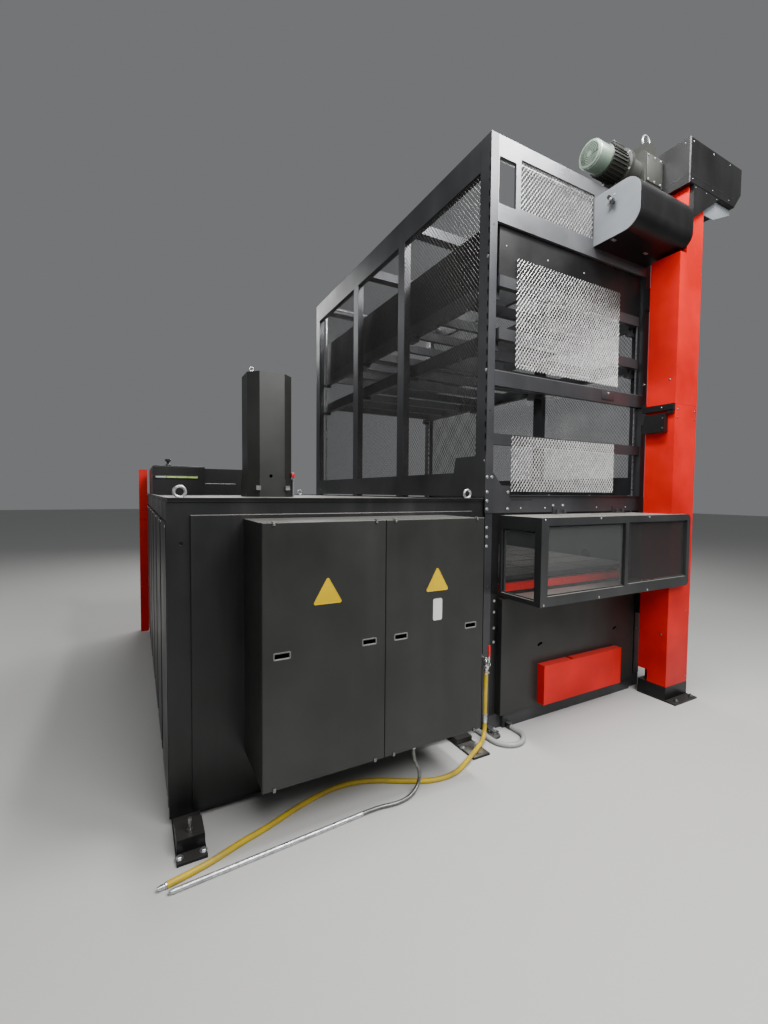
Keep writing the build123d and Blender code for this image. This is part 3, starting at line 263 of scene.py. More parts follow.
# Guard: a welded frame under a wide top plate, held by brackets before the tower and in a
# darker grey than its own. Its top is painted far lighter than its sides.
guard_coat = powder_coat(
    "guard_coat", (0.03, 0.031, 0.032), roughness=0.34, dust_and_sheen=1.0, metallic=0.3
)
dress(guard_coat, "guard_frame")

# Black parts: the drum hood, the drive box and its shroud, the sensor box, the mast's plinth,
# the stile, the feet and the hoods on the deck have a thin black paint. The cassette's walls
# get the same black as painted shade, where they stand in shadow under the ledge.
black_coat = powder_coat(
    "black_coat", (0.0035, 0.0034, 0.0036), roughness=0.34, dust_and_sheen=0.1, smudge=0.01, specular=0.3
)
dress(black_coat, "drum_hood", "drive_box", "mast_foot", "mast_sensor", "mast_shroud")
dress(black_coat, "punch_hoods", "foot_brackets", "cassette_walls", "front_stile")

# Grey plates on the hoist: the end plate of the drum hood and the stay under the drive box
# have a light grey coat. The lock on the end plate is black moulded plastic.
plate_coat = powder_coat("plate_coat", (0.14, 0.15, 0.16), roughness=0.36, dust_and_sheen=0.1, smudge=0.03)
dress(plate_coat, "drum_end_plate", "drive_stay")
lock_plastic = powder_coat("lock_plastic", (0.012, 0.012, 0.013), roughness=0.25, smudge=0)
dress(lock_plastic, "drum_lock")

# Motor and gearbox: castings that are flanged together, with a green-grey enamel over
# their sand-cast grain. Its colour is painted near black as painted shade, as the hoist
# stands against the light.
shaded_motor_enamel = powder_coat("shaded_motor_enamel", (0.014, 0.015, 0.012), roughness=0.42, specular=0.35)
dress(shaded_motor_enamel, "hoist_motor", "gearbox")


# Bright fittings: lifting eyes, chains, shafts, pipes and most screws are zinc-plated or
# galvanised steel. The levelling screw and the bolts of the collar and the mast's foot are of
# an older, darker zinc, and so are rolled edges.
def bare_zinc(name, colour, roughness, spangle):
    """Zinc on steel: crystals of uneven brightness, dulled in patches."""
    material, tree = start_material(name, {"Metallic": 0.9})
    where = add_node(tree, "ShaderNodeTexCoord")
    crystals = add_node(tree, "ShaderNodeTexVoronoi", {"Scale": spangle})
    tree.links.new(where.outputs["Object"], crystals.inputs["Vector"])
    level = add_node(tree, "ShaderNodeSeparateColor")
    tree.links.new(crystals.outputs["Color"], level.inputs[0])
    bright = tuple(min(1, value * 1.2) for value in colour)
    dull = tuple(value * 0.7 for value in colour)
    base = blend_colour(tree, level.outputs[0], dull, bright)
    grime = span(tree, noise(tree, scale=12, detail=6), 0.5, 0.75)
    base = blend_colour(tree, multiply(tree, grime, 0.4), base, (0.12, 0.115, 0.105))
    wear = noise(tree, scale=25, detail=4)
    rough = span(tree, wear, 0.3, 0.7, roughness - 0.1, roughness + 0.12)
    link_look(tree, base, rough)
    add_bump(tree, noise(tree, scale=180), strength=0.15, distance=0.0003)
    return material


zinc = bare_zinc("zinc", (0.55, 0.56, 0.57), roughness=0.34, spangle=90)
dress(zinc, "lifting_eyes", "lift_chains", "lift_shaft_front", "lift_shaft_rear", "rigid_conduit")
edge_metal = bare_zinc("rolled_edge", (0.24, 0.24, 0.24), roughness=0.32, spangle=60)
dress(edge_metal, "machine_bolts")

# Modules in the cabinet: grey moulded housings clipped on a plate, out of sight until one of
# the covers is lifted off.
module_grey = powder_coat("module_grey", (0.45, 0.46, 0.47), roughness=0.5, dust_and_sheen=0.05)
dress(module_grey, "cabinet_electrics")


# Panes of the guard: clear plastic sheets at the left and on the side and a smoked one at the
# right, held in their windows by gaskets.
def window_pane(name, colour, cover, roughness):
    """A sheet of plastic glazing that lets part of the light through."""
    material, tree = start_material(name, {"Alpha": cover, "IOR": 1.49})
    film = span(tree, noise(tree, scale=1.5, detail=4), 0.45, 0.75)
    base = blend_colour(tree, multiply(tree, film, 0.1), colour, dust_and_sheen_colour)
    smears = span(tree, noise(tree, scale=14, detail=5), 0.4, 0.7, roughness, roughness + 0.08)
    link_look(tree, base, smears)
    return material


clear_pane = window_pane("clear_pane", (0.6, 0.63, 0.62), cover=0.04, roughness=0.04)
dress(clear_pane, "guard_pane_clear")
smoked_pane = window_pane("smoked_pane", (0.03, 0.028, 0.028), cover=0.62, roughness=0.06)
dress(smoked_pane, "guard_pane_tinted")

# Feet: anchors hold the two front floor plates, hexagon nuts on wide washers. A bare steel
# shim lies on the foot beside the hose. A levelling foot stands before the tower's near upright:
# a rubber pad on a stud that two nuts hold in a lug, and the lug is welded to the upright.
sharp_edge = math.radians(35)


def move(shape, place):
    """Move all of a shape."""
    bmesh.ops.translate(shape, vec=place, verts=shape.verts)


def make_piece(name, shape, material=zinc, body="machine"):
    """Turn a shape, drawn from the body's left front corner, into an object that rides."""
    move(shape, corner)
    mesh = bpy.data.meshes.new(name)
    shape.to_mesh(mesh)
    shape.free()
    mesh.materials.append(material)
    mesh.shade_smooth()
    mesh.set_sharp_from_angle(angle=sharp_edge)
    piece = bpy.data.objects.new(name, mesh)
    bpy.context.scene.collection.objects.link(piece)
    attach(piece, body)
    return piece


def join_shape(target, source):
    """Add a shape to another and free it."""
    mesh = bpy.data.meshes.new("part")
    source.to_mesh(mesh)
    source.free()
    target.from_mesh(mesh)
    bpy.data.meshes.remove(mesh)


def turned(profile, start, direction, sides=24):
    """A shape turned about a line: each step of the profile is a run along it and a radius."""
    shape = bmesh.new()
    verts = [shape.verts.new((radius, 0, run)) for run, radius in profile]
    edges = [shape.edges.new(pair) for pair in zip(verts[:-1], verts[1:])]
    bmesh.ops.spin(
        shape,
        geom=verts + edges,
        axis=(0, 0, 1),
        cent=(0, 0, 0),
        angle=math.tau,
        steps=sides,
        use_merge=True,
    )
    bmesh.ops.remove_doubles(shape, verts=shape.verts, dist=0.00001)
    bmesh.ops.recalc_face_normals(shape, faces=shape.faces)
    aim = Vector(direction).to_track_quat("Z", "Y").to_matrix().to_4x4()
    bmesh.ops.transform(shape, matrix=Matrix.Translation(start) @ aim, verts=shape.verts)
    return shape


def add_bolt(shape, place, direction, half_width):
    """A hexagon head with a broken top edge on a washer."""
    washer_edge = half_width * 1.4
    washer_top = 0.0016
    washer = ((0, 0), (0, washer_edge), (washer_top, washer_edge), (washer_top, 0))
    join_shape(shape, turned(washer, place, direction, sides=16))
    head = (
        (washer_top, 0), (washer_top, half_width), (half_width * 0.65, half_width),
        (half_width * 0.8, half_width * 0.84), (half_width * 0.8, 0),
    )
    join_shape(shape, turned(head, place, direction, sides=6))


def add_screw(shape, place, direction, radius):
    """A low round head with a socket in it."""
    head = (
        (0, 0), (0, radius), (radius * 0.3, radius * 0.97), (radius * 0.52, radius * 0.7),
        (radius * 0.56, radius * 0.48), (radius * 0.2, radius * 0.42), (radius * 0.2, 0),
    )
    join_shape(shape, turned(head, place, direction, sides=12))


def box_between(shape, across, along, up, rounded=0):
    """A bar between two values along X, Y and Z, with its edges broken."""
    made = bmesh.ops.create_cube(shape, size=1)["verts"]
    size = (across[1] - across[0], along[1] - along[0], up[1] - up[0])
    bmesh.ops.scale(shape, vec=size, verts=made)
    middle = (sum(across) / 2, sum(along) / 2, sum(up) / 2)
    bmesh.ops.translate(shape, vec=middle, verts=made)
    if rounded:
        edges = list({edge for vert in made for edge in vert.link_edges})
        bmesh.ops.bevel(
            shape,
            geom=edges,
            offset=rounded,
            segments=2,
            profile=0.5,
            affect="EDGES",
            material=-1,
        )


upward = (0, 0, 1)
downward = (0, 0, -1)
to_front = (0, -1, 0)
to_rear = (0, 1, 0)
to_left = (-1, 0, 0)
to_right = (1, 0, 0)
foot_top = 0.012
foot_middles = ((0.072, -0.214), (1.651, -0.1))
anchor_reach = 0.0475
anchor_half = 0.012
anchors = bmesh.new()
for middle, depth in foot_middles:
    for shift in (-anchor_reach, anchor_reach):
        add_bolt(anchors, (middle + shift, depth, foot_top), upward, anchor_half)
make_piece("foot_anchors", anchors)
shim_steel = bare_zinc("bare_steel", (0.42, 0.4, 0.36), roughness=0.32, spangle=30)
shim_spans = ((1.594, 1.706), (-0.218, -0.064), (foot_top, foot_top + 0.0015))
shim = bmesh.new()
box_between(shim, *shim_spans, rounded=0.0005)
make_piece("foot_shim", shim, shim_steel)
level_across = 1.88
level_along = -0.07
pad_top = 0.016
pad_steps = ((0, 0), (0, 0.04), (0.006, 0.042), (0.012, 0.038), (pad_top, 0.024), (pad_top, 0))
pad = turned(pad_steps, (level_across, level_along, 0), upward)
make_piece("levelling_pad", pad, lock_plastic)
lug_low = 0.03
lug_high = 0.038
lug_spans = ((1.86, 1.9), (-0.094, 0.002), (lug_low, lug_high))
lug = bmesh.new()
box_between(lug, *lug_spans, rounded=0.0015)
make_piece("levelling_lug", lug, tower_coat)
level_nuts = bmesh.new()
for level, half_width in ((pad_top, 0.017), (lug_high, 0.012)):
    add_bolt(level_nuts, (level_across, level_along, level), upward, half_width)
stud_steps = ((0, 0), (0, 0.008), (0.022, 0.008), (0.024, 0.006), (0.024, 0))
join_shape(level_nuts, turned(stud_steps, (level_across, level_along, lug_low), upward, sides=16))
make_piece("levelling_nuts", level_nuts)

# Covers of the cabinet: round each hand slot sits a pressed cup with a rolled edge. Hooks
# with a thumb screw hold each cover at its top and bottom. Above the slots are bare plates.
cover_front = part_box("cabinet_cover_left")[0][1] - corner.y
cover_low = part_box("cabinet_cover_left")[0][2]
cover_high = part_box("cabinet_cover_left")[1][2]
slot_level = (cover_low + cover_high) / 2 + 0.005
slot_inset = 0.084
slot_width = 0.065
slot_height = 0.022
cup_rim = 0.006
cup_corner = 0.008
cup_steps = ((0.0005, 0.0012), (0.0035, 0.0008), (0.0025, -0.0015), (0.0003, -0.004))
hook_inset = 0.05
hook_half = 0.006
hook_lip = 0.0045
hook_drop = 0.013
hook_reach = 0.022
hook_plate = 0.005
hook_edge = 0.0012
hook_screw = 0.0042
plate_steps = ((0.0002, 0.0008), (0.003, 0), (0.0006, -0.0003), (0.002, 0))
sign_side = 0.142
sign_corner = 0.015
sign_places = {"cover_left": (0.623, 1.098), "cover_right": (1.21, 1.1)}
label_size = (0.055, 0.11)
label_corner = 0.009
label_place = (1.2135, cover_front, 0.965)
upright = Matrix.Rotation(math.radians(90), 4, "X")


def stepped_plate(plate, radius, steps):
    """Round a flat face's corners, inset it, move it at each step and set it up facing front."""
    bmesh.ops.bevel(
        plate,
        geom=plate.verts[:],
        offset=radius,
        segments=4,
        profile=0.5,
        affect="VERTICES",
        material=-1,
    )
    bmesh.ops.recalc_face_normals(plate, faces=plate.faces)
    if plate.faces[:][0].normal.z < 0:
        bmesh.ops.reverse_faces(plate, faces=plate.faces)
    face = plate.faces[:]
    for inset, rise in steps:
        bmesh.ops.inset_region(
            plate,
            faces=face,
            thickness=inset,
            depth=rise,
            use_boundary=True,
            use_even_offset=True,
        )
    bmesh.ops.rotate(plate, matrix=upright, verts=plate.verts)
    return plate


def rounded_plate(width, height, radius, steps):
    """A plate with four round corners."""
    plate = bmesh.new()
    bmesh.ops.create_grid(plate, x_segments=1, y_segments=1, size=0.5)
    bmesh.ops.scale(plate, vec=(width, height, 1), verts=plate.verts)
    return stepped_plate(plate, radius, steps)


def three_sided_plate(side, radius, steps):
    """A triangle with round corners, point up."""
    plate = bmesh.new()
    bmesh.ops.create_circle(plate, cap_ends=True, segments=3, radius=side / math.sqrt(3))
    return stepped_plate(plate, radius, steps)


def open_middle(plate):
    """Take away a plate's largest face, so that only its rim stays."""
    widest = max(plate.faces, key=lambda face: face.calc_area())
    bmesh.ops.delete(plate, geom=[widest], context="FACES")


sign_yellow = powder_coat(
    "sign_yellow", (0.5, 0.33, 0.0), roughness=0.4, dust_and_sheen=0.05, smudge=0.02, specular=0.2
)
label_pale = powder_coat("label_pale", (0.52, 0.53, 0.5), roughness=0.4, dust_and_sheen=0.05, smudge=0.05)
# The cups' grey is lighter than the covers' charcoal as a painted highlight on their rolled
# edges.
highlit_cup_coat = powder_coat("highlit_cup_coat", (0.11, 0.11, 0.105), roughness=0.35, dust_and_sheen=0.1)
for side in ("left", "right"):
    body = f"cover_{side}"
    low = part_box(f"cabinet_cover_{side}")[0][0] - corner.x
    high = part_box(f"cabinet_cover_{side}")[1][0] - corner.x
    cups = bmesh.new()
    for x in (low + slot_inset, high - slot_inset):
        cup_size = (slot_width + 2 * cup_rim, slot_height + 2 * cup_rim)
        cup = rounded_plate(*cup_size, cup_corner, cup_steps)
        open_middle(cup)
        move(cup, (x, cover_front, slot_level))
        join_shape(cups, cup)
    make_piece(f"slot_cups_{side}", cups, highlit_cup_coat, body)
    hooks = bmesh.new()
    for x in (low + hook_inset, high - hook_inset):
        width = (x - hook_half, x + hook_half)
        for level, way in ((cover_high, 1), (cover_low, -1)):
            lip = sorted((level, level + hook_lip * way))
            tab = sorted((level - hook_drop * way, level + hook_lip * way))
            box_between(hooks, width, (cover_front, cover_front + hook_reach), lip, hook_edge)
            box_between(hooks, width, (cover_front - hook_plate, cover_front), tab, hook_edge)
            screw_place = (x, cover_front - hook_plate, level - hook_half * way)
            add_screw(hooks, screw_place, to_front, hook_screw)
    piece = make_piece(f"cover_hooks_{side}", hooks, edge_metal, body)
    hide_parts(f"cover_clips_{side}")
    sign = three_sided_plate(sign_side, sign_corner, plate_steps)
    move(sign, (sign_places[body][0], cover_front, sign_places[body][1]))
    make_piece(f"bare_triangle_{side}", sign, sign_yellow, body)
label = rounded_plate(*label_size, label_corner, plate_steps)
move(label, label_place)
make_piece("bare_label", label, label_pale, "cover_right")

# Panels of the body: six lift-off sheets on the left and two covers at the rear, each held by
# small round-headed screws near its corners.
panel_low, panel_high = (Vector(end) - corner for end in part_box("body_panels"))
side_start = 0.021
side_end = 3.379
side_count = 6
side_pitch = (side_end - side_start) / side_count
screw_reach = 0.2
lowest_screws = panel_low.z + 0.03
side_levels = (lowest_screws, 1.385)
rear_columns = (0.13, 0.87, 0.96, 1.7)
rear_levels = (lowest_screws, 0.75, 1.41)
panel_screw = 0.0055


def add_rows(add_one, shape, across, along, levels, direction, size):
    """Screws or bolts of one size at every crossing of the given values."""
    for x in across:
        for y in along:
            for z in levels:
                add_one(shape, (x, y, z), direction, size)


panel_screws = bmesh.new()
for number in range(side_count):
    middle = side_start + side_pitch * (number + 0.5)
    along = (middle - screw_reach, middle + screw_reach)
    left = (panel_low.x,)
    add_rows(add_screw, panel_screws, left, along, side_levels, to_left, panel_screw)
rear = (panel_high.y,)
add_rows(add_screw, panel_screws, rear_columns, rear, rear_levels, to_rear, panel_screw)
make_piece("panel_screws", panel_screws)

# Deck: a light bar with four lenses in a dark housing lies across the long hood's front,
# the first one grey and the others yellow-green. A turned black knob stands on the hood's
# top, and a seam cover runs across the second hood.
rim_height = 0.008
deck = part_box("top_cover")[1][2] - rim_height
lens_span = (0.04, 0.392)
lens_level = (deck + 0.154, deck + 0.168)
lens_front = 2.3
lens_count = 4
lens_gap = 0.002
housing_rim = 0.008
knob_place = (0.146, 2.33, deck + 0.265)
knob_steps = (
    (0, 0), (0, 0.022), (0.012, 0.02), (0.018, 0.012), (0.034, 0.012), (0.04, 0.024),
    (0.052, 0.026), (0.058, 0.022), (0.06, 0),
)
housing_spans = (
    (lens_span[0] - housing_rim, lens_span[1] + housing_rim),
    (lens_front - 0.01, lens_front),
    (lens_level[0] - 0.006, lens_level[1] + 0.006),
)
housing = bmesh.new()
box_between(housing, *housing_spans, rounded=0.003)
join_shape(housing, turned(knob_steps, knob_place, upward))
make_piece("hood_housing_and_knob", housing, lock_plastic)
lens_green = powder_coat("lens_green", (0.36, 0.52, 0.1), roughness=0.25, dust_and_sheen=0.05, smudge=0)
lens_grey = powder_coat("lens_grey", (0.3, 0.31, 0.31), roughness=0.25, dust_and_sheen=0.05, smudge=0)
lens_step = (lens_span[1] - lens_span[0]) / lens_count
for number in range(lens_count):
    lens = bmesh.new()
    start = lens_span[0] + lens_step * number
    across = (start + lens_gap, start + lens_step - lens_gap)
    box_between(lens, across, (lens_front - 0.014, lens_front - 0.008), lens_level, 0.002)
    glass = lens_green if number else lens_grey
    make_piece(f"status_lens_{number}", lens, glass)
seam_spans = ((0.472, 0.769), (2.496, 2.5), (deck + 0.106, deck + 0.114))
seam = bmesh.new()
box_between(seam, *seam_spans, rounded=0.001)
make_piece("hood_seam", seam, edge_metal)

# Column: a red moulded plug sits in its right side above the deck. A thin grey conduit comes
# up through the deck to it and ends in a collar.
lever_plastic = powder_coat(
    "lever_plastic", (0.45, 0.004, 0.006), roughness=0.3, dust_and_sheen=0, smudge=0.02
)
plug_spans = ((0.908, 0.932), (1.088, 1.112), (deck + 0.148, deck + 0.18))
plug = bmesh.new()
box_between(plug, *plug_spans, rounded=0.003)
make_piece("column_plug", plug, lever_plastic)
lead_place = (0.924, 1.1, deck)
lead_steps = ((0, 0), (0, 0.006), (0.144, 0.006), (0.148, 0.009), (0.148, 0))
lead = turned(lead_steps, lead_place, upward, sides=12)
make_piece("column_lead", lead, plate_coat)

# Expanded metal on the front of the tower: sheets slit and pulled into upright diamonds,
# cut raw at the edges and bolted behind the frame's bars.
strand_width = 0.0055
strand_depth = 0.0018
diamond_width = 0.027
diamond_height = 0.035
front_mesh_depth = 0.01
front_mesh_spans = (
    ((2.085, 2.795), (3.38, 3.69)),
    ((2.075, 3.13), (2.37, 3.075)),
    ((2.055, 3.11), (1.565, 1.93)),
)


def expanded_metal(width, height, wide, tall):
    """A flat lattice of diamonds in X and Z round the origin, trimmed to its panel."""
    lattice = bmesh.new()
    count = math.ceil(width / wide + height / tall) + 2
    bmesh.ops.create_grid(lattice, x_segments=count, y_segments=count, size=count / 2)
    turn = Matrix.Rotation(math.radians(45), 4, "Z")
    bmesh.ops.rotate(lattice, matrix=turn, verts=lattice.verts)
    half = math.sqrt(0.5)
    bmesh.ops.scale(lattice, vec=(wide * half, tall * half, 1), verts=lattice.verts)
    outside = [
        face
        for face in lattice.faces
        if abs(face.calc_center_median().x) > width / 2 + wide
        or abs(face.calc_center_median().y) > height / 2 + tall
    ]
    bmesh.ops.delete(lattice, geom=outside, context="FACES")
    holes = list(lattice.faces)
    bmesh.ops.inset_individual(lattice, faces=holes, thickness=strand_width / 2)
    ridges = {vert for face in holes for vert in face.verts}
    crest = [vert for vert in lattice.verts if vert not in ridges]
    bmesh.ops.delete(lattice, geom=holes, context="FACES_ONLY")
    bmesh.ops.translate(lattice, vec=(0, 0, strand_depth), verts=crest)
    bmesh.ops.mirror(
        lattice,
        geom=lattice.verts[:] + lattice.edges[:] + lattice.faces[:],
        merge_dist=0.0001,
        axis="Z",
    )
    reaches = ((to_right, width), (to_left, width), (to_rear, height), (to_front, height))
    for normal, reach in reaches:
        bmesh.ops.bisect_plane(
            lattice,
            geom=lattice.verts[:] + lattice.edges[:] + lattice.faces[:],
            plane_co=Vector(normal) * reach / 2,
            plane_no=normal,
            clear_outer=True,
        )
    cut_ends = [edge for edge in lattice.edges if edge.is_boundary]
    bmesh.ops.holes_fill(lattice, edges=cut_ends, sides=8)
    bmesh.ops.recalc_face_normals(lattice, faces=lattice.faces)
    bmesh.ops.rotate(lattice, matrix=upright, verts=lattice.verts)
    return lattice


mesh_steel = bare_zinc("mesh_steel", (0.36, 0.36, 0.35), roughness=0.4, spangle=60)
front_mesh = bmesh.new()
for across, up in front_mesh_spans:
    sheet = expanded_metal(across[1] - across[0], up[1] - up[0], diamond_width, diamond_height)
    move(sheet, (sum(across) / 2, front_mesh_depth, sum(up) / 2))
    join_shape(front_mesh, sheet)
piece = make_piece("front_expanded_metal", front_mesh, mesh_steel)
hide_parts("mesh_front")

# Expanded metal on both sides of the tower: the same sheets, one in each bay, held between
# the uprights. Their steel is drawn near black as painted shade, for the sides face away from
# the lamps.
side_low, side_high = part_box("mesh_sides")
side_bays = ((0.1, 1.03), (1.13, 1.915), (2.015, 2.99))
side_low_edge = 1.691
side_high_edge = 3.584
side_sink = 0.002
side_depths = {
    "left": side_low[0] + side_sink - corner.x,
    "right": side_high[0] - side_sink - corner.x,
}
quarter_turn = Matrix.Rotation(math.radians(90), 4, "Z")
shaded_mesh_steel = bare_zinc("shaded_mesh_steel", (0.07, 0.07, 0.068), roughness=0.45, spangle=60)
for side, depth in side_depths.items():
    side_mesh = bmesh.new()
    for along in side_bays:
        width = along[1] - along[0]
        height = side_high_edge - side_low_edge
        sheet = expanded_metal(width, height, diamond_width, diamond_height)
        bmesh.ops.rotate(sheet, matrix=quarter_turn, verts=sheet.verts)
        move(sheet, (depth, sum(along) / 2, (side_low_edge + side_high_edge) / 2))
        join_shape(side_mesh, sheet)
    piece = make_piece(f"{side}_expanded_metal", side_mesh, shaded_mesh_steel)
    if side == "left":
        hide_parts("mesh_sides")

# Tower's small parts: hexagon bolts hold the stile, the gusset, the brackets and the rear
# posts, and low screws the sheets. Plugs close the holes that were drilled for other fittings,
# and a plate joins a beam. All but the plastic plugs and the painted plate are zinc-plated.
post_front = 0.0
gusset_front = -0.006
frame_front = 0.024
tower_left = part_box("tower_posts")[0][0] - corner.x
tower_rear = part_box("tower_posts")[1][1] - corner.y
tower_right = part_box("tower_plates")[1][0] - corner.x
stile_middle = 1.924
stile_levels = (0.852, 0.779, 0.674, 0.581)
upright_middle = 1.85
upright_levels = (1.332, 1.274, 1.213)
gusset_places = (
    (1.84, 1.655), (1.879, 1.655), (1.842, 1.56), (1.842, 1.504), (1.842, 1.451), (2.02, 1.56),
    (2.018, 1.451),
)
beam_places = ((2.448, 1.47), (2.547, 1.47), (3.008, 2.308))
flank_along = 0.015
flank_levels = (1.76, 2.33, 3.03)
rear_posts = (tower_left + 0.029, 3.454)
rear_bolt_levels = (0.3, 1.5, 2.3, 3.66)
stile_bolt = 0.0065
upright_bolt = 0.0075
flank_bolt = 0.007
strong_bolt = 0.008
front = (post_front,)
tower_bolts = bmesh.new()
add_rows(add_bolt, tower_bolts, (stile_middle,), front, stile_levels, to_front, stile_bolt)
add_rows(add_bolt, tower_bolts, (upright_middle,), front, upright_levels, to_front, upright_bolt)
for x, z in gusset_places:
    add_bolt(tower_bolts, (x, gusset_front, z), to_front, strong_bolt)
for x, z in beam_places:
    add_bolt(tower_bolts, (x, post_front, z), to_front, strong_bolt)
left = (tower_left,)
rear = (tower_rear,)
add_rows(add_bolt, tower_bolts, left, (flank_along,), flank_levels, to_left, flank_bolt)
add_rows(add_bolt, tower_bolts, rear_posts, rear, rear_bolt_levels, to_rear, strong_bolt)
make_piece("tower_bolts", tower_bolts)
tower_screw = 0.006
strong_beam_columns = (2.141, 2.367, 2.911, 3.254)
strong_beam_level = (1.454,)
frame_columns = (1.995, 2.37, 2.736)
frame_level = (3.137,)
ledge_columns = (2.417, 2.844, 3.311)
ledge_along = (0.012,)
ledge_top = (1.542,)
side_rows = (0.05, 0.56, 1.07, 1.5, 1.96, 2.48, 3.04)
side_edges = (0.13, 1.495)
end_rows = (side_rows[0], side_rows[-1])
end_levels = (0.58, 1.04)
right = (tower_right,)
screws = bmesh.new()
add_rows(
    add_screw, screws, strong_beam_columns, front, strong_beam_level, to_front, tower_screw
)
add_rows(add_screw, screws, frame_columns, (frame_front,), frame_level, to_front, tower_screw)
add_rows(add_screw, screws, ledge_columns, ledge_along, ledge_top, upward, tower_screw)
add_rows(add_screw, screws, right, side_rows, side_edges, to_right, tower_screw)
add_rows(add_screw, screws, right, end_rows, end_levels, to_right, tower_screw)
make_piece("tower_screws", screws)
plugs = bmesh.new()
plug_places = ((1.859, 2.072), (1.865, 3.225), (1.868, 3.691), (2.456, 1.471))
plug_steps = (
    (0, 0), (0, 0.0075), (0.0006, 0.0075), (0.0006, 0.0055), (0.0002, 0.005), (0.0002, 0),
)
for x, z in plug_places:
    join_shape(plugs, turned(plug_steps, (x, post_front, z), to_front, sides=16))
# A thin black strip stands for a slit in the tower's front: its black is painted shade in the
# slit.
slit_shade_spans = ((2.052, 2.243), (-0.0008, 0), (1.507, 1.511))
box_between(plugs, *slit_shade_spans)
make_piece("hole_plugs", plugs, lock_plastic)
joint_spans = ((2.935, 3.076), (-0.004, 0), (2.258, 2.326))
joint = bmesh.new()
box_between(joint, *joint_spans, rounded=0.0015)
make_piece("beam_joint_plate", joint, tower_coat)

# Brushes of the lift table: each module is a strip of black bristle tufts set close in a
# plastic board, and the boards lie on the table's bars. Nothing fixes them but clips below.
brush_hair = powder_coat("brush_hair", (0.012, 0.012, 0.012), roughness=0.6, dust_and_sheen=0.4)
brush_low, brush_high = (Vector(end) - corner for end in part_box("lift_brushes"))
row_count = 12
column_count = 3
module_gap = 0.015
row_pitch = (brush_high.y - brush_low.y + module_gap) / row_count
column_pitch = (brush_high.x - brush_low.x + module_gap) / column_count
tufts_across = 28
tufts_along = 13
tuft_height = 0.024
tuft_gap = 0.0042
board_top = brush_high.z - tuft_height
module = bmesh.new()
bmesh.ops.create_grid(module, x_segments=tufts_across, y_segments=tufts_along, size=0.5)
module_size = (column_pitch - module_gap, row_pitch - module_gap, 1)
bmesh.ops.scale(module, vec=module_size, verts=module.verts)
tufts = list(module.faces)
outline = [edge for edge in module.edges if edge.is_boundary]
bmesh.ops.inset_individual(module, faces=tufts, thickness=tuft_gap)
raised = list({vert for face in tufts for vert in face.verts})
bmesh.ops.translate(module, vec=(0, 0, tuft_height), verts=raised)
sides = bmesh.ops.extrude_edge_only(module, edges=outline)["geom"]
lowered = [item for item in sides if isinstance(item, bmesh.types.BMVert)]
bmesh.ops.translate(module, vec=(0, 0, brush_low.z - board_top), verts=lowered)
bmesh.ops.holes_fill(module, edges=[edge for edge in module.edges if edge.is_boundary], sides=0)
bmesh.ops.recalc_face_normals(module, faces=module.faces)
module_mesh = bpy.data.meshes.new("module")
module.to_mesh(module_mesh)
module.free()
brushes = bmesh.new()
for column in range(column_count):
    for row in range(row_count):
        first = len(brushes.verts)
        brushes.from_mesh(module_mesh)
        middle = (
            brush_low.x + module_size[0] / 2 + column_pitch * column,
            brush_low.y + module_size[1] / 2 + row_pitch * row,
            board_top,
        )
        brushes.verts.ensure_lookup_table()
        bmesh.ops.translate(brushes, vec=middle, verts=brushes.verts[first:])
bpy.data.meshes.remove(module_mesh)
piece = make_piece("brush_modules", brushes, brush_hair, "lift")
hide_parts("lift_brushes")

# Guard: black rubber gaskets hold the panes in their windows, and round-headed screws close
# the tube frame at its corners and in its middle.
pane_front = -0.333
guard_front = -0.35
gasket_width = 0.007
gasket_depth = 0.004
gasket_corner = 0.012


def add_gasket(shape, middle, width, height, turn=0):
    """A rubber frame round a pane, facing the front or turned to a side."""
    steps = ((0.0008, gasket_depth), (gasket_width, 0), (0.0008, -gasket_depth))
    strip = rounded_plate(width, height, gasket_corner, steps)
    open_middle(strip)
    aim = Matrix.Rotation(math.radians(turn), 4, "Z")
    bmesh.ops.rotate(strip, matrix=aim, verts=strip.verts)
    move(strip, middle)
    join_shape(shape, strip)


clear_window = ((2.383, pane_front, 1.151), 0.726, 0.422)
smoked_window = ((3.125, pane_front, 1.1575), 0.69, 0.415)
side_window = ((1.977, -0.16, 1.1175), 0.28, 0.415, -90)
gaskets = bmesh.new()
for window in (clear_window, smoked_window, side_window):
    add_gasket(gaskets, *window)
make_piece("pane_gaskets", gaskets, lock_plastic)
guard_columns = (1.989, 2.489, 3.002)
guard_rows = (0.892, 1.398)
guard_screw = 0.0065
guard_screws = bmesh.new()
front = (guard_front,)
add_rows(add_screw, guard_screws, guard_columns, front, guard_rows, to_front, guard_screw)
make_piece("guard_screws", guard_screws)

# Mast: socket screws in tapped holes hold the two lengths to the tongue inside and the cover
# of the foot, and others close the sensor's box and its bar.
mast_left_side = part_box("mast_lower")[0][0] - corner.x
mast_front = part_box("mast_lower")[0][1] - corner.y
mast_screw = 0.0075
sensor_screw = 0.005
sensor_places = ((3.305, -0.236, 2.118), (3.305, -0.236, 2.046), (3.326, -0.215, 2.198))
cover_places = ((3.581, 0.671), (3.605, 0.153))
joint_columns = (3.384, 3.605)
joint_levels = (2.18, 2.12)
flank_rows = (-0.255, -0.06)
flank_levels = (2.4, 2.18, 0.5)
front = (mast_front,)
left = (mast_left_side,)
mast_screws = bmesh.new()
for x, z in cover_places:
    add_screw(mast_screws, (x, mast_front, z), to_front, mast_screw)
add_rows(add_screw, mast_screws, joint_columns, front, joint_levels, to_front, mast_screw)
add_rows(add_screw, mast_screws, left, flank_rows, flank_levels, to_left, mast_screw)
for place in sensor_places:
    add_screw(mast_screws, place, to_left, sensor_screw)
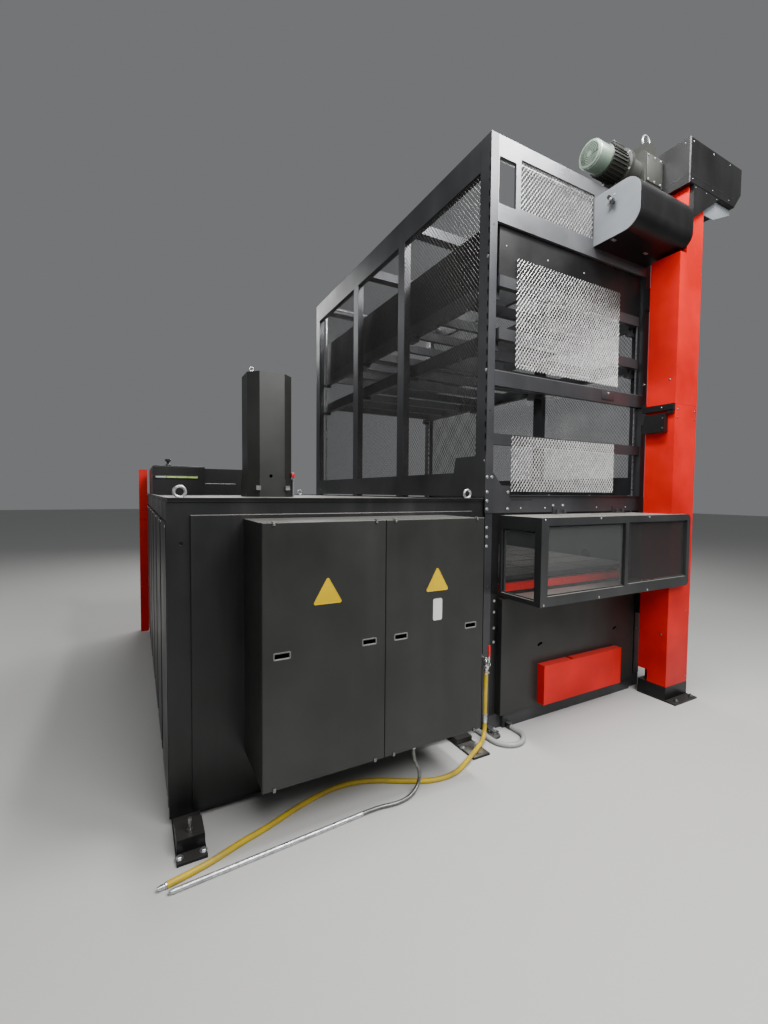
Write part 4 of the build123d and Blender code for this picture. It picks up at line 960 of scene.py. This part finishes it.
make_piece("mast_screws", mast_screws, edge_metal)

# Drum hood: two bright spring clips grip its lower edge, each a plate over a smaller one. A
# zinc-plated cross pin goes through the lock's handle and turns with it.
hood_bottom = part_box("drum_hood")[0][2]
clip_columns = (2.84, 3.205)
clip_along = -0.129
clip_layers = ((0.02, 0.01, -0.004, 0), (0.014, 0.006, -0.008, -0.003))
hood_clips = bmesh.new()
for x in clip_columns:
    for half_width, half_depth, low, high in clip_layers:
        across = (x - half_width, x + half_width)
        along = (clip_along - half_depth, clip_along + half_depth)
        box_between(hood_clips, across, along, (hood_bottom + low, hood_bottom + high), 0.001)
make_piece("hood_clips", hood_clips)
lock_place = (2.7665, -0.148, 3.571)
lock_bolt = 0.008
cross_pin = bmesh.new()
pin_half = 0.039
pin_end = 2 * pin_half
pin_steps = (
    (0, 0), (0, 0.005), (0.001, 0.006), (pin_end - 0.001, 0.006), (pin_end, 0.005), (pin_end, 0),
)
pin_lean = math.radians(57)
pin_heading = Vector((0, math.sin(pin_lean), -math.cos(pin_lean)))
pin_sink = Vector((0.003, 0, 0))
pin_start = Vector(lock_place) - pin_heading * pin_half + pin_sink
join_shape(cross_pin, turned(pin_steps, pin_start, pin_heading, sides=12))
add_bolt(cross_pin, lock_place, to_left, lock_bolt)
make_piece("lock_pin", cross_pin, body="hood_lock")

# Motor: a pressed fan cover with rings of slots in its end, a ribbed body, a terminal box
# under a screwed lid and a flange with six bolts. The gearbox beside it has a cover plate.
motor_place = (2.83, -0.02, 3.93)
fan_end = 0.13
slot_floor = fan_end - 0.0025
slot_rings = (0.07, 0.059, 0.048, 0.037, 0.026)
fan_steps = [(0, 0), (0, 0.0915), (0.118, 0.0915), (0.126, 0.088), (fan_end, 0.081)]
for ring in slot_rings:
    fan_steps += [(fan_end, ring), (slot_floor, ring - 0.001)]
    fan_steps += [(slot_floor, ring - 0.005), (fan_end, ring - 0.006)]
fan_steps += [(fan_end, 0)]
fan_green = powder_coat("fan_green", (0.1, 0.14, 0.105), roughness=0.36, dust_and_sheen=0.2, smudge=0.05)
make_piece("fan_cover", turned(fan_steps, motor_place, to_left, sides=48), fan_green)
rim_steps = (
    (0.112, 0.09), (0.112, 0.093), (0.1135, 0.0935), (0.1185, 0.0935), (0.12, 0.0925),
    (0.12, 0.09),
)
make_piece("fan_rim", turned(rim_steps, motor_place, to_left, sides=48))
fin_count = 28
fin_half = 0.0015
fin_span = (2.838, 2.99)
fin_reach = (0.096, 0.107)
motor_line = Matrix.Translation((0, *motor_place[1:]))
fins = bmesh.new()
for number in range(fin_count):
    first = len(fins.verts)
    box_between(fins, fin_span, (-fin_half, fin_half), fin_reach, 0.0006)
    fins.verts.ensure_lookup_table()
    roll = Matrix.Rotation(math.tau * number / fin_count, 4, "X")
    bmesh.ops.transform(fins, matrix=motor_line @ roll, verts=fins.verts[first:])
make_piece("motor_fins", fins, shaded_motor_enamel)
flange_face = 3.0
flange_bolts = 6
bolt_circle = 0.113
flange_bolt = 0.007
lid_top = 4.066
lid_columns = (2.912, 3.018)
lid_rows = (-0.053, 0.013)
lid_screw = 0.0045
cover_face = -0.136
cover_columns = (3.197, 3.2715, 3.346)
cover_rows = (3.854, 4.024)
cover_bolt = 0.006
hoist_bolts = bmesh.new()
for number in range(flange_bolts):
    turn = math.tau * (number + 0.5) / flange_bolts
    y = motor_place[1] + bolt_circle * math.cos(turn)
    z = motor_place[2] + bolt_circle * math.sin(turn)
    add_bolt(hoist_bolts, (flange_face, y, z), to_left, flange_bolt)
add_rows(add_screw, hoist_bolts, lid_columns, lid_rows, (lid_top,), upward, lid_screw)
add_rows(add_bolt, hoist_bolts, cover_columns, (cover_face,), cover_rows, to_front, cover_bolt)
lid_spans = ((2.898, 3.032), (-0.067, 0.027), (4.058, lid_top))
cover_spans = ((3.185, 3.358), (cover_face, -0.13), (3.842, 4.036))
hoist_covers = bmesh.new()
for spans in (lid_spans, cover_spans):
    box_between(hoist_covers, *spans, rounded=0.002)
make_piece("hoist_covers", hoist_covers, shaded_motor_enamel)
make_piece("hoist_bolts", hoist_bolts)

# Drive box: a folded cover whose flanges meet in a seam, held by socket screws along its
# edges. The shroud below it has screws of its own.
drive_low, drive_high = (Vector(end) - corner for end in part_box("drive_box"))
drive_screw = 0.006
drive_inset = 0.03
drive_columns = (drive_low.x + 0.035, drive_low.x + 0.3, drive_high.x - 0.18)
drive_rows = (drive_low.z + drive_inset, drive_high.z - drive_inset)
end_columns = (drive_low.y + 0.04, (drive_low.y + drive_high.y) / 2, drive_high.y - 0.04)
front = (drive_low.y,)
left = (drive_low.x,)
shroud_columns = (3.46, 3.6, 3.74)
shroud_front = (-0.33,)
shroud_level = (3.765,)
shroud_screw = 0.005
drive_screws = bmesh.new()
add_rows(add_screw, drive_screws, drive_columns, front, drive_rows, to_front, drive_screw)
add_rows(add_screw, drive_screws, left, end_columns, drive_rows[1:], to_left, drive_screw)
add_rows(
    add_screw, drive_screws, shroud_columns, shroud_front, shroud_level, to_front, shroud_screw
)
make_piece("drive_screws", drive_screws, edge_metal)
seam_left = drive_low.x - 0.001
seam_levels = (drive_low.z + 0.055, drive_low.z + 0.058)
seam_front = (drive_low.y - 0.001, drive_low.y)
drive_seams = bmesh.new()
box_between(drive_seams, (seam_left, drive_high.x - 0.1), seam_front, seam_levels)
box_between(drive_seams, (seam_left, drive_low.x), (drive_low.y, drive_high.y), seam_levels)
make_piece("drive_seams", drive_seams, lock_plastic)


# Air hose: yellow rubber. A short length hangs from the valve to a coupling, and a long one
# goes on from there along the floor and past the left foot.
def hose_rubber(name, colour, grime_share):
    """A rubber or plastic skin, scuffed and grey with floor dirt."""
    material, tree = start_material(name, {"Specular IOR Level": 0.4})
    patches = span(tree, noise(tree, scale=9, detail=6), 0.4, 0.7)
    base = blend_colour(tree, multiply(tree, patches, grime_share), colour, (0.12, 0.1, 0.07))
    rough = span(tree, noise(tree, scale=30, detail=4), 0.3, 0.7, 0.4, 0.6)
    link_look(tree, base, rough)
    add_bump(tree, noise(tree, scale=300), strength=0.2, distance=0.0003)
    return material


def lay_line(name, points, radius, material, replaced):
    """A hose or cable along a smooth line through the route's own points."""
    curve = bpy.data.curves.new(name, "CURVE")
    curve.dimensions = "3D"
    curve.bevel_depth = radius
    curve.bevel_resolution = 5
    curve.resolution_u = 10
    curve.use_fill_caps = True
    line = curve.splines.new("NURBS")
    line.points.add(len(points) - 1)
    for knot, (x, y, z) in zip(line.points, points):
        knot.co = (x + corner.x, y + corner.y, z, 1)
    line.order_u = 3
    line.use_endpoint_u = True
    curve.materials.append(material)
    piece = bpy.data.objects.new(name, curve)
    bpy.context.scene.collection.objects.link(piece)
    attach(piece, "machine")
    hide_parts(replaced)
    return piece


valve_across = 1.812
valve_along = -0.06
hose_radius = 0.013
hose_level = 0.0135
over_foot = 0.0295
drop_points = [
    (valve_across, valve_along, 0.43),
    (valve_across, valve_along, 0.345),
    (1.79, -0.082, 0.262),
    (1.79, -0.082, 0.175),
]
hose_waves = (
    0.152, 0.232, 0.292, 0.284, 0.211, 0.124, 0.086, 0.104, 0.149, 0.208, 0.25, 0.308, 0.334,
)
waves_over_foot = 2
wave_start = 1.69
wave_run = 1.72
wave_step = wave_run / (len(hose_waves) - 1)
hose_points = [(1.79, -0.082, 0.115), (1.79, -0.082, 0.068), (1.758, -0.11, over_foot + 0.004)]
for number, wave in enumerate(hose_waves):
    level = over_foot if number < waves_over_foot else hose_level
    hose_points.append((wave_start - wave_step * number, -wave, level))
yellow_rubber = hose_rubber("yellow_rubber", (0.52, 0.36, 0.003), grime_share=0.5)
coupling_steps = (
    (0, 0), (0, 0.0135), (0.004, 0.0155), (0.014, 0.0155), (0.015, 0.014), (0.022, 0.014),
    (0.023, 0.016), (0.04, 0.016), (0.041, 0.0142), (0.046, 0.0142), (0.047, 0.0155),
    (0.056, 0.0155), (0.06, 0.0135), (0.06, 0),
)
coupling = make_piece("hose_coupling", turned(coupling_steps, drop_points[-1], downward))
end_steps = (
    (0, 0), (0, 0.011), (0.006, 0.0115), (0.008, 0.0095), (0.026, 0.0095), (0.03, 0.008),
    (0.034, 0.0075), (0.034, 0),
)
hose_heading = Vector(hose_points[-1]) - Vector(hose_points[-2])
hose_end = make_piece("hose_end", turned(end_steps, hose_points[-1], hose_heading))
piece = lay_line(
    "yellow_drop", drop_points, hose_radius, yellow_rubber, "air_hose_drop"
)
piece = lay_line(
    "yellow_hose", hose_points, hose_radius, yellow_rubber, "air_hose"
)

# Air valve: chrome-plated brass. A branch comes out of the wall into the side of the body,
# a hexagon takes the spanner, and a band clamp grips the hose on its barb. The steel lever
# has a red dipped sleeve on its upper half.
valve_chrome = bare_zinc("valve_chrome", (0.6, 0.61, 0.6), roughness=0.2, spangle=40)
stem_level = 0.48
lever_depth = (-0.0885, -0.0825)
body_steps = (
    (0, 0), (0, 0.01), (0.003, 0.013), (0.016, 0.014), (0.018, 0.0165), (0.026, 0.0165),
    (0.028, 0.015), (0.034, 0.018), (0.044, 0.019), (0.054, 0.018), (0.06, 0.015), (0.076, 0.015),
    (0.078, 0.013), (0.09, 0.0125), (0.09, 0),
)
branch_steps = (
    (0, 0), (0, 0.017), (0.006, 0.017), (0.008, 0.0115), (0.05, 0.0115), (0.052, 0.014),
    (0.064, 0.014), (0.066, 0.012), (0.072, 0.012), (0.072, 0),
)
spanner_steps = ((0, 0), (0, 0.018), (0.002, 0.019), (0.016, 0.019), (0.018, 0.018), (0.018, 0))
stem_steps = ((0, 0), (0, 0.0085), (0.008, 0.0085), (0.009, 0.0065), (0.022, 0.0065), (0.022, 0))
valve_top = (valve_across, valve_along, 0.52)
branch_start = (valve_across, 0, 0.505)
spanner_top = (valve_across, valve_along, 0.468)
stem_start = (valve_across, -0.066, stem_level)
valve = turned(body_steps, valve_top, downward)
join_shape(valve, turned(branch_steps, branch_start, to_front))
join_shape(valve, turned(spanner_steps, spanner_top, downward, sides=6))
join_shape(valve, turned(stem_steps, stem_start, to_front, sides=16))
piece = make_piece("chrome_valve", valve, valve_chrome)
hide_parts("air_valve")
clamp_steps = (
    (0, 0.0131), (0, 0.0141), (0.001, 0.0145), (0.009, 0.0145), (0.01, 0.0141), (0.01, 0.0131),
    (0, 0.0131),
)
clamp_top = 0.424
ear_spans = ((1.825, 1.834), (-0.068, -0.052), (clamp_top - 0.01, clamp_top))
clamp = turned(clamp_steps, (valve_across, valve_along, clamp_top), downward)
box_between(clamp, *ear_spans, rounded=0.001)
make_piece("hose_clamp", clamp)
tongue_spans = ((1.806, 1.818), lever_depth, (0.47, 0.575))
lever = bmesh.new()
box_between(lever, *tongue_spans, rounded=0.001)
hub_steps = ((0, 0), (0, 0.012), (0.006, 0.012), (0.006, 0))
join_shape(lever, turned(hub_steps, (valve_across, lever_depth[1], stem_level), to_front))
piece = make_piece("lever_tongue", lever, valve_chrome, "inlet_lever")
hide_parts("valve_lever")
sleeve_spans = ((1.8035, 1.8205), (-0.0905, -0.0805), (0.53, 0.6035))
lever_sleeve = bmesh.new()
box_between(lever_sleeve, *sleeve_spans, rounded=0.0035)
make_piece("lever_sleeve", lever_sleeve, lever_plastic, "inlet_lever")

# Conduit: a flexible steel length runs from the gland under the cabinet down to the floor
# and into a sleeve. The rigid galvanised pipe past it lies in one clip that is screwed down.
conduit_steel = bare_zinc("conduit_steel", (0.2, 0.2, 0.19), roughness=0.4, spangle=120)
flexible_radius = 0.0093
flexible_pitch = 0.0056
flexible_groove = 0.0088
flexible_crest = 0.01
conduit_level = 0.0105
pipe_start = Vector((0.76, -0.333, conduit_level))
pipe_end = Vector((-0.012, -0.372, conduit_level))
pipe_heading = (pipe_end - pipe_start).normalized()
sleeve_length = 0.06
sleeve_start = pipe_start - pipe_heading * sleeve_length
flexible_points = [
    (1.125, -0.296, 0.235),
    (1.125, -0.296, 0.18),
    (1.167, -0.3, 0.105),
    (1.151, -0.31, 0.04),
    (1.085, -0.334, conduit_level),
    (1.0, -0.346, conduit_level),
    tuple(sleeve_start - pipe_heading * 0.09),
    tuple(sleeve_start),
]
sleeve_steps = (
    (0, 0.0085), (0, 0.01), (0.004, 0.0104), (0.02, 0.0104), (0.022, 0.0098), (0.04, 0.0098),
    (0.042, 0.0104), (0.056, 0.0104), (0.06, 0.01), (0.06, 0.0085), (0, 0.0085),
)
sleeve = make_piece("conduit_sleeve", turned(sleeve_steps, sleeve_start, pipe_heading))
gland_steps = (
    (0, 0), (0, 0.016), (0.01, 0.016), (0.011, 0.0145), (0.016, 0.0145), (0.017, 0.016),
    (0.032, 0.016), (0.04, 0.0135), (0.048, 0.012), (0.048, 0),
)
gland_top = (1.125, -0.296, 0.283)
make_piece("conduit_gland", turned(gland_steps, gland_top, downward, sides=6))
cap_steps = ((0, 0), (0, 0.0082), (0.012, 0.0078), (0.014, 0.0065), (0.014, 0))
make_piece("conduit_cap", turned(cap_steps, pipe_end, pipe_heading))
clip_steps = (
    (-0.007, 0.0101), (-0.007, 0.0104), (0.007, 0.0104), (0.007, 0.0101), (-0.007, 0.0101),
)
clip_run = 0.472
clip_spot = pipe_start + pipe_heading * clip_run
make_piece("conduit_clip", turned(clip_steps, clip_spot, pipe_heading))
piece = lay_line(
    "flexible_line",
    flexible_points,
    flexible_radius,
    conduit_steel,
    "flexible_conduit",
)


def rib_places(line, pitch):
    """Places and headings at an even pitch along a line, read from its own spline."""
    plain = line.data.copy()
    plain.bevel_depth = 0
    holder = bpy.data.objects.new("plain", plain)
    thread = bpy.data.meshes.new_from_object(holder)
    points = [vert.co.copy() for vert in thread.vertices]
    places = []
    left_over = pitch / 2
    for here, there in zip(points[:-1], points[1:]):
        run = there - here
        reach = left_over
        while reach < run.length:
            places.append((here + run.normalized() * reach - corner, run.normalized()))
            reach += pitch
        left_over = reach - run.length
    bpy.data.objects.remove(holder)
    bpy.data.meshes.remove(thread)
    bpy.data.curves.remove(plain)
    return places


def ribbed(name, line, pitch, inner, outer, material):
    """Round ribs along a line, each a ring that stands up from the skin."""
    rings = bmesh.new()
    foot = pitch * 0.34
    crest = pitch * 0.2
    steps = ((-foot, inner), (-crest, outer), (crest, outer), (foot, inner))
    for place, heading in rib_places(line, pitch):
        join_shape(rings, turned(steps, place, heading, sides=12))
    return make_piece(name, rings, material)


flexible_ribs = ribbed(
    "flexible_ribs",
    piece,
    flexible_pitch,
    flexible_groove,
    flexible_crest,
    conduit_steel,
)

# Loop of ribbed cable hose between the body and the tower's plinth, flat on the floor, with
# a moulded black socket at each end.
loop_level = 0.0165
loop_radius = 0.0148
loop_pitch = 0.0075
loop_groove = 0.0142
loop_crest = 0.016
loop_points = [
    (valve_across, 0.018, loop_level),
    (valve_across, -0.074, loop_level),
    (1.815, -0.166, loop_level),
    (1.881, -0.232, loop_level),
    (1.974, -0.232, loop_level),
    (2.04, -0.166, loop_level),
    (2.037, -0.11, loop_level),
    (2.037, -0.06, loop_level),
]
grey_plastic = hose_rubber("grey_plastic", (0.34, 0.35, 0.34), grime_share=0.3)
piece = lay_line(
    "ribbed_loop", loop_points, loop_radius, grey_plastic, "cable_loop"
)
loop_ribs = ribbed(
    "loop_ribs", piece, loop_pitch, loop_groove, loop_crest, grey_plastic
)
socket_half = 0.019
socket_length = 0.04
sockets = bmesh.new()
for x, y, _ in (loop_points[0], loop_points[-1]):
    across = (x - socket_half, x + socket_half)
    box_between(sockets, across, (y, y + socket_length), (0, 2 * socket_half), 0.004)
piece = make_piece("loop_sockets", sockets, lock_plastic)
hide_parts("line_fittings")

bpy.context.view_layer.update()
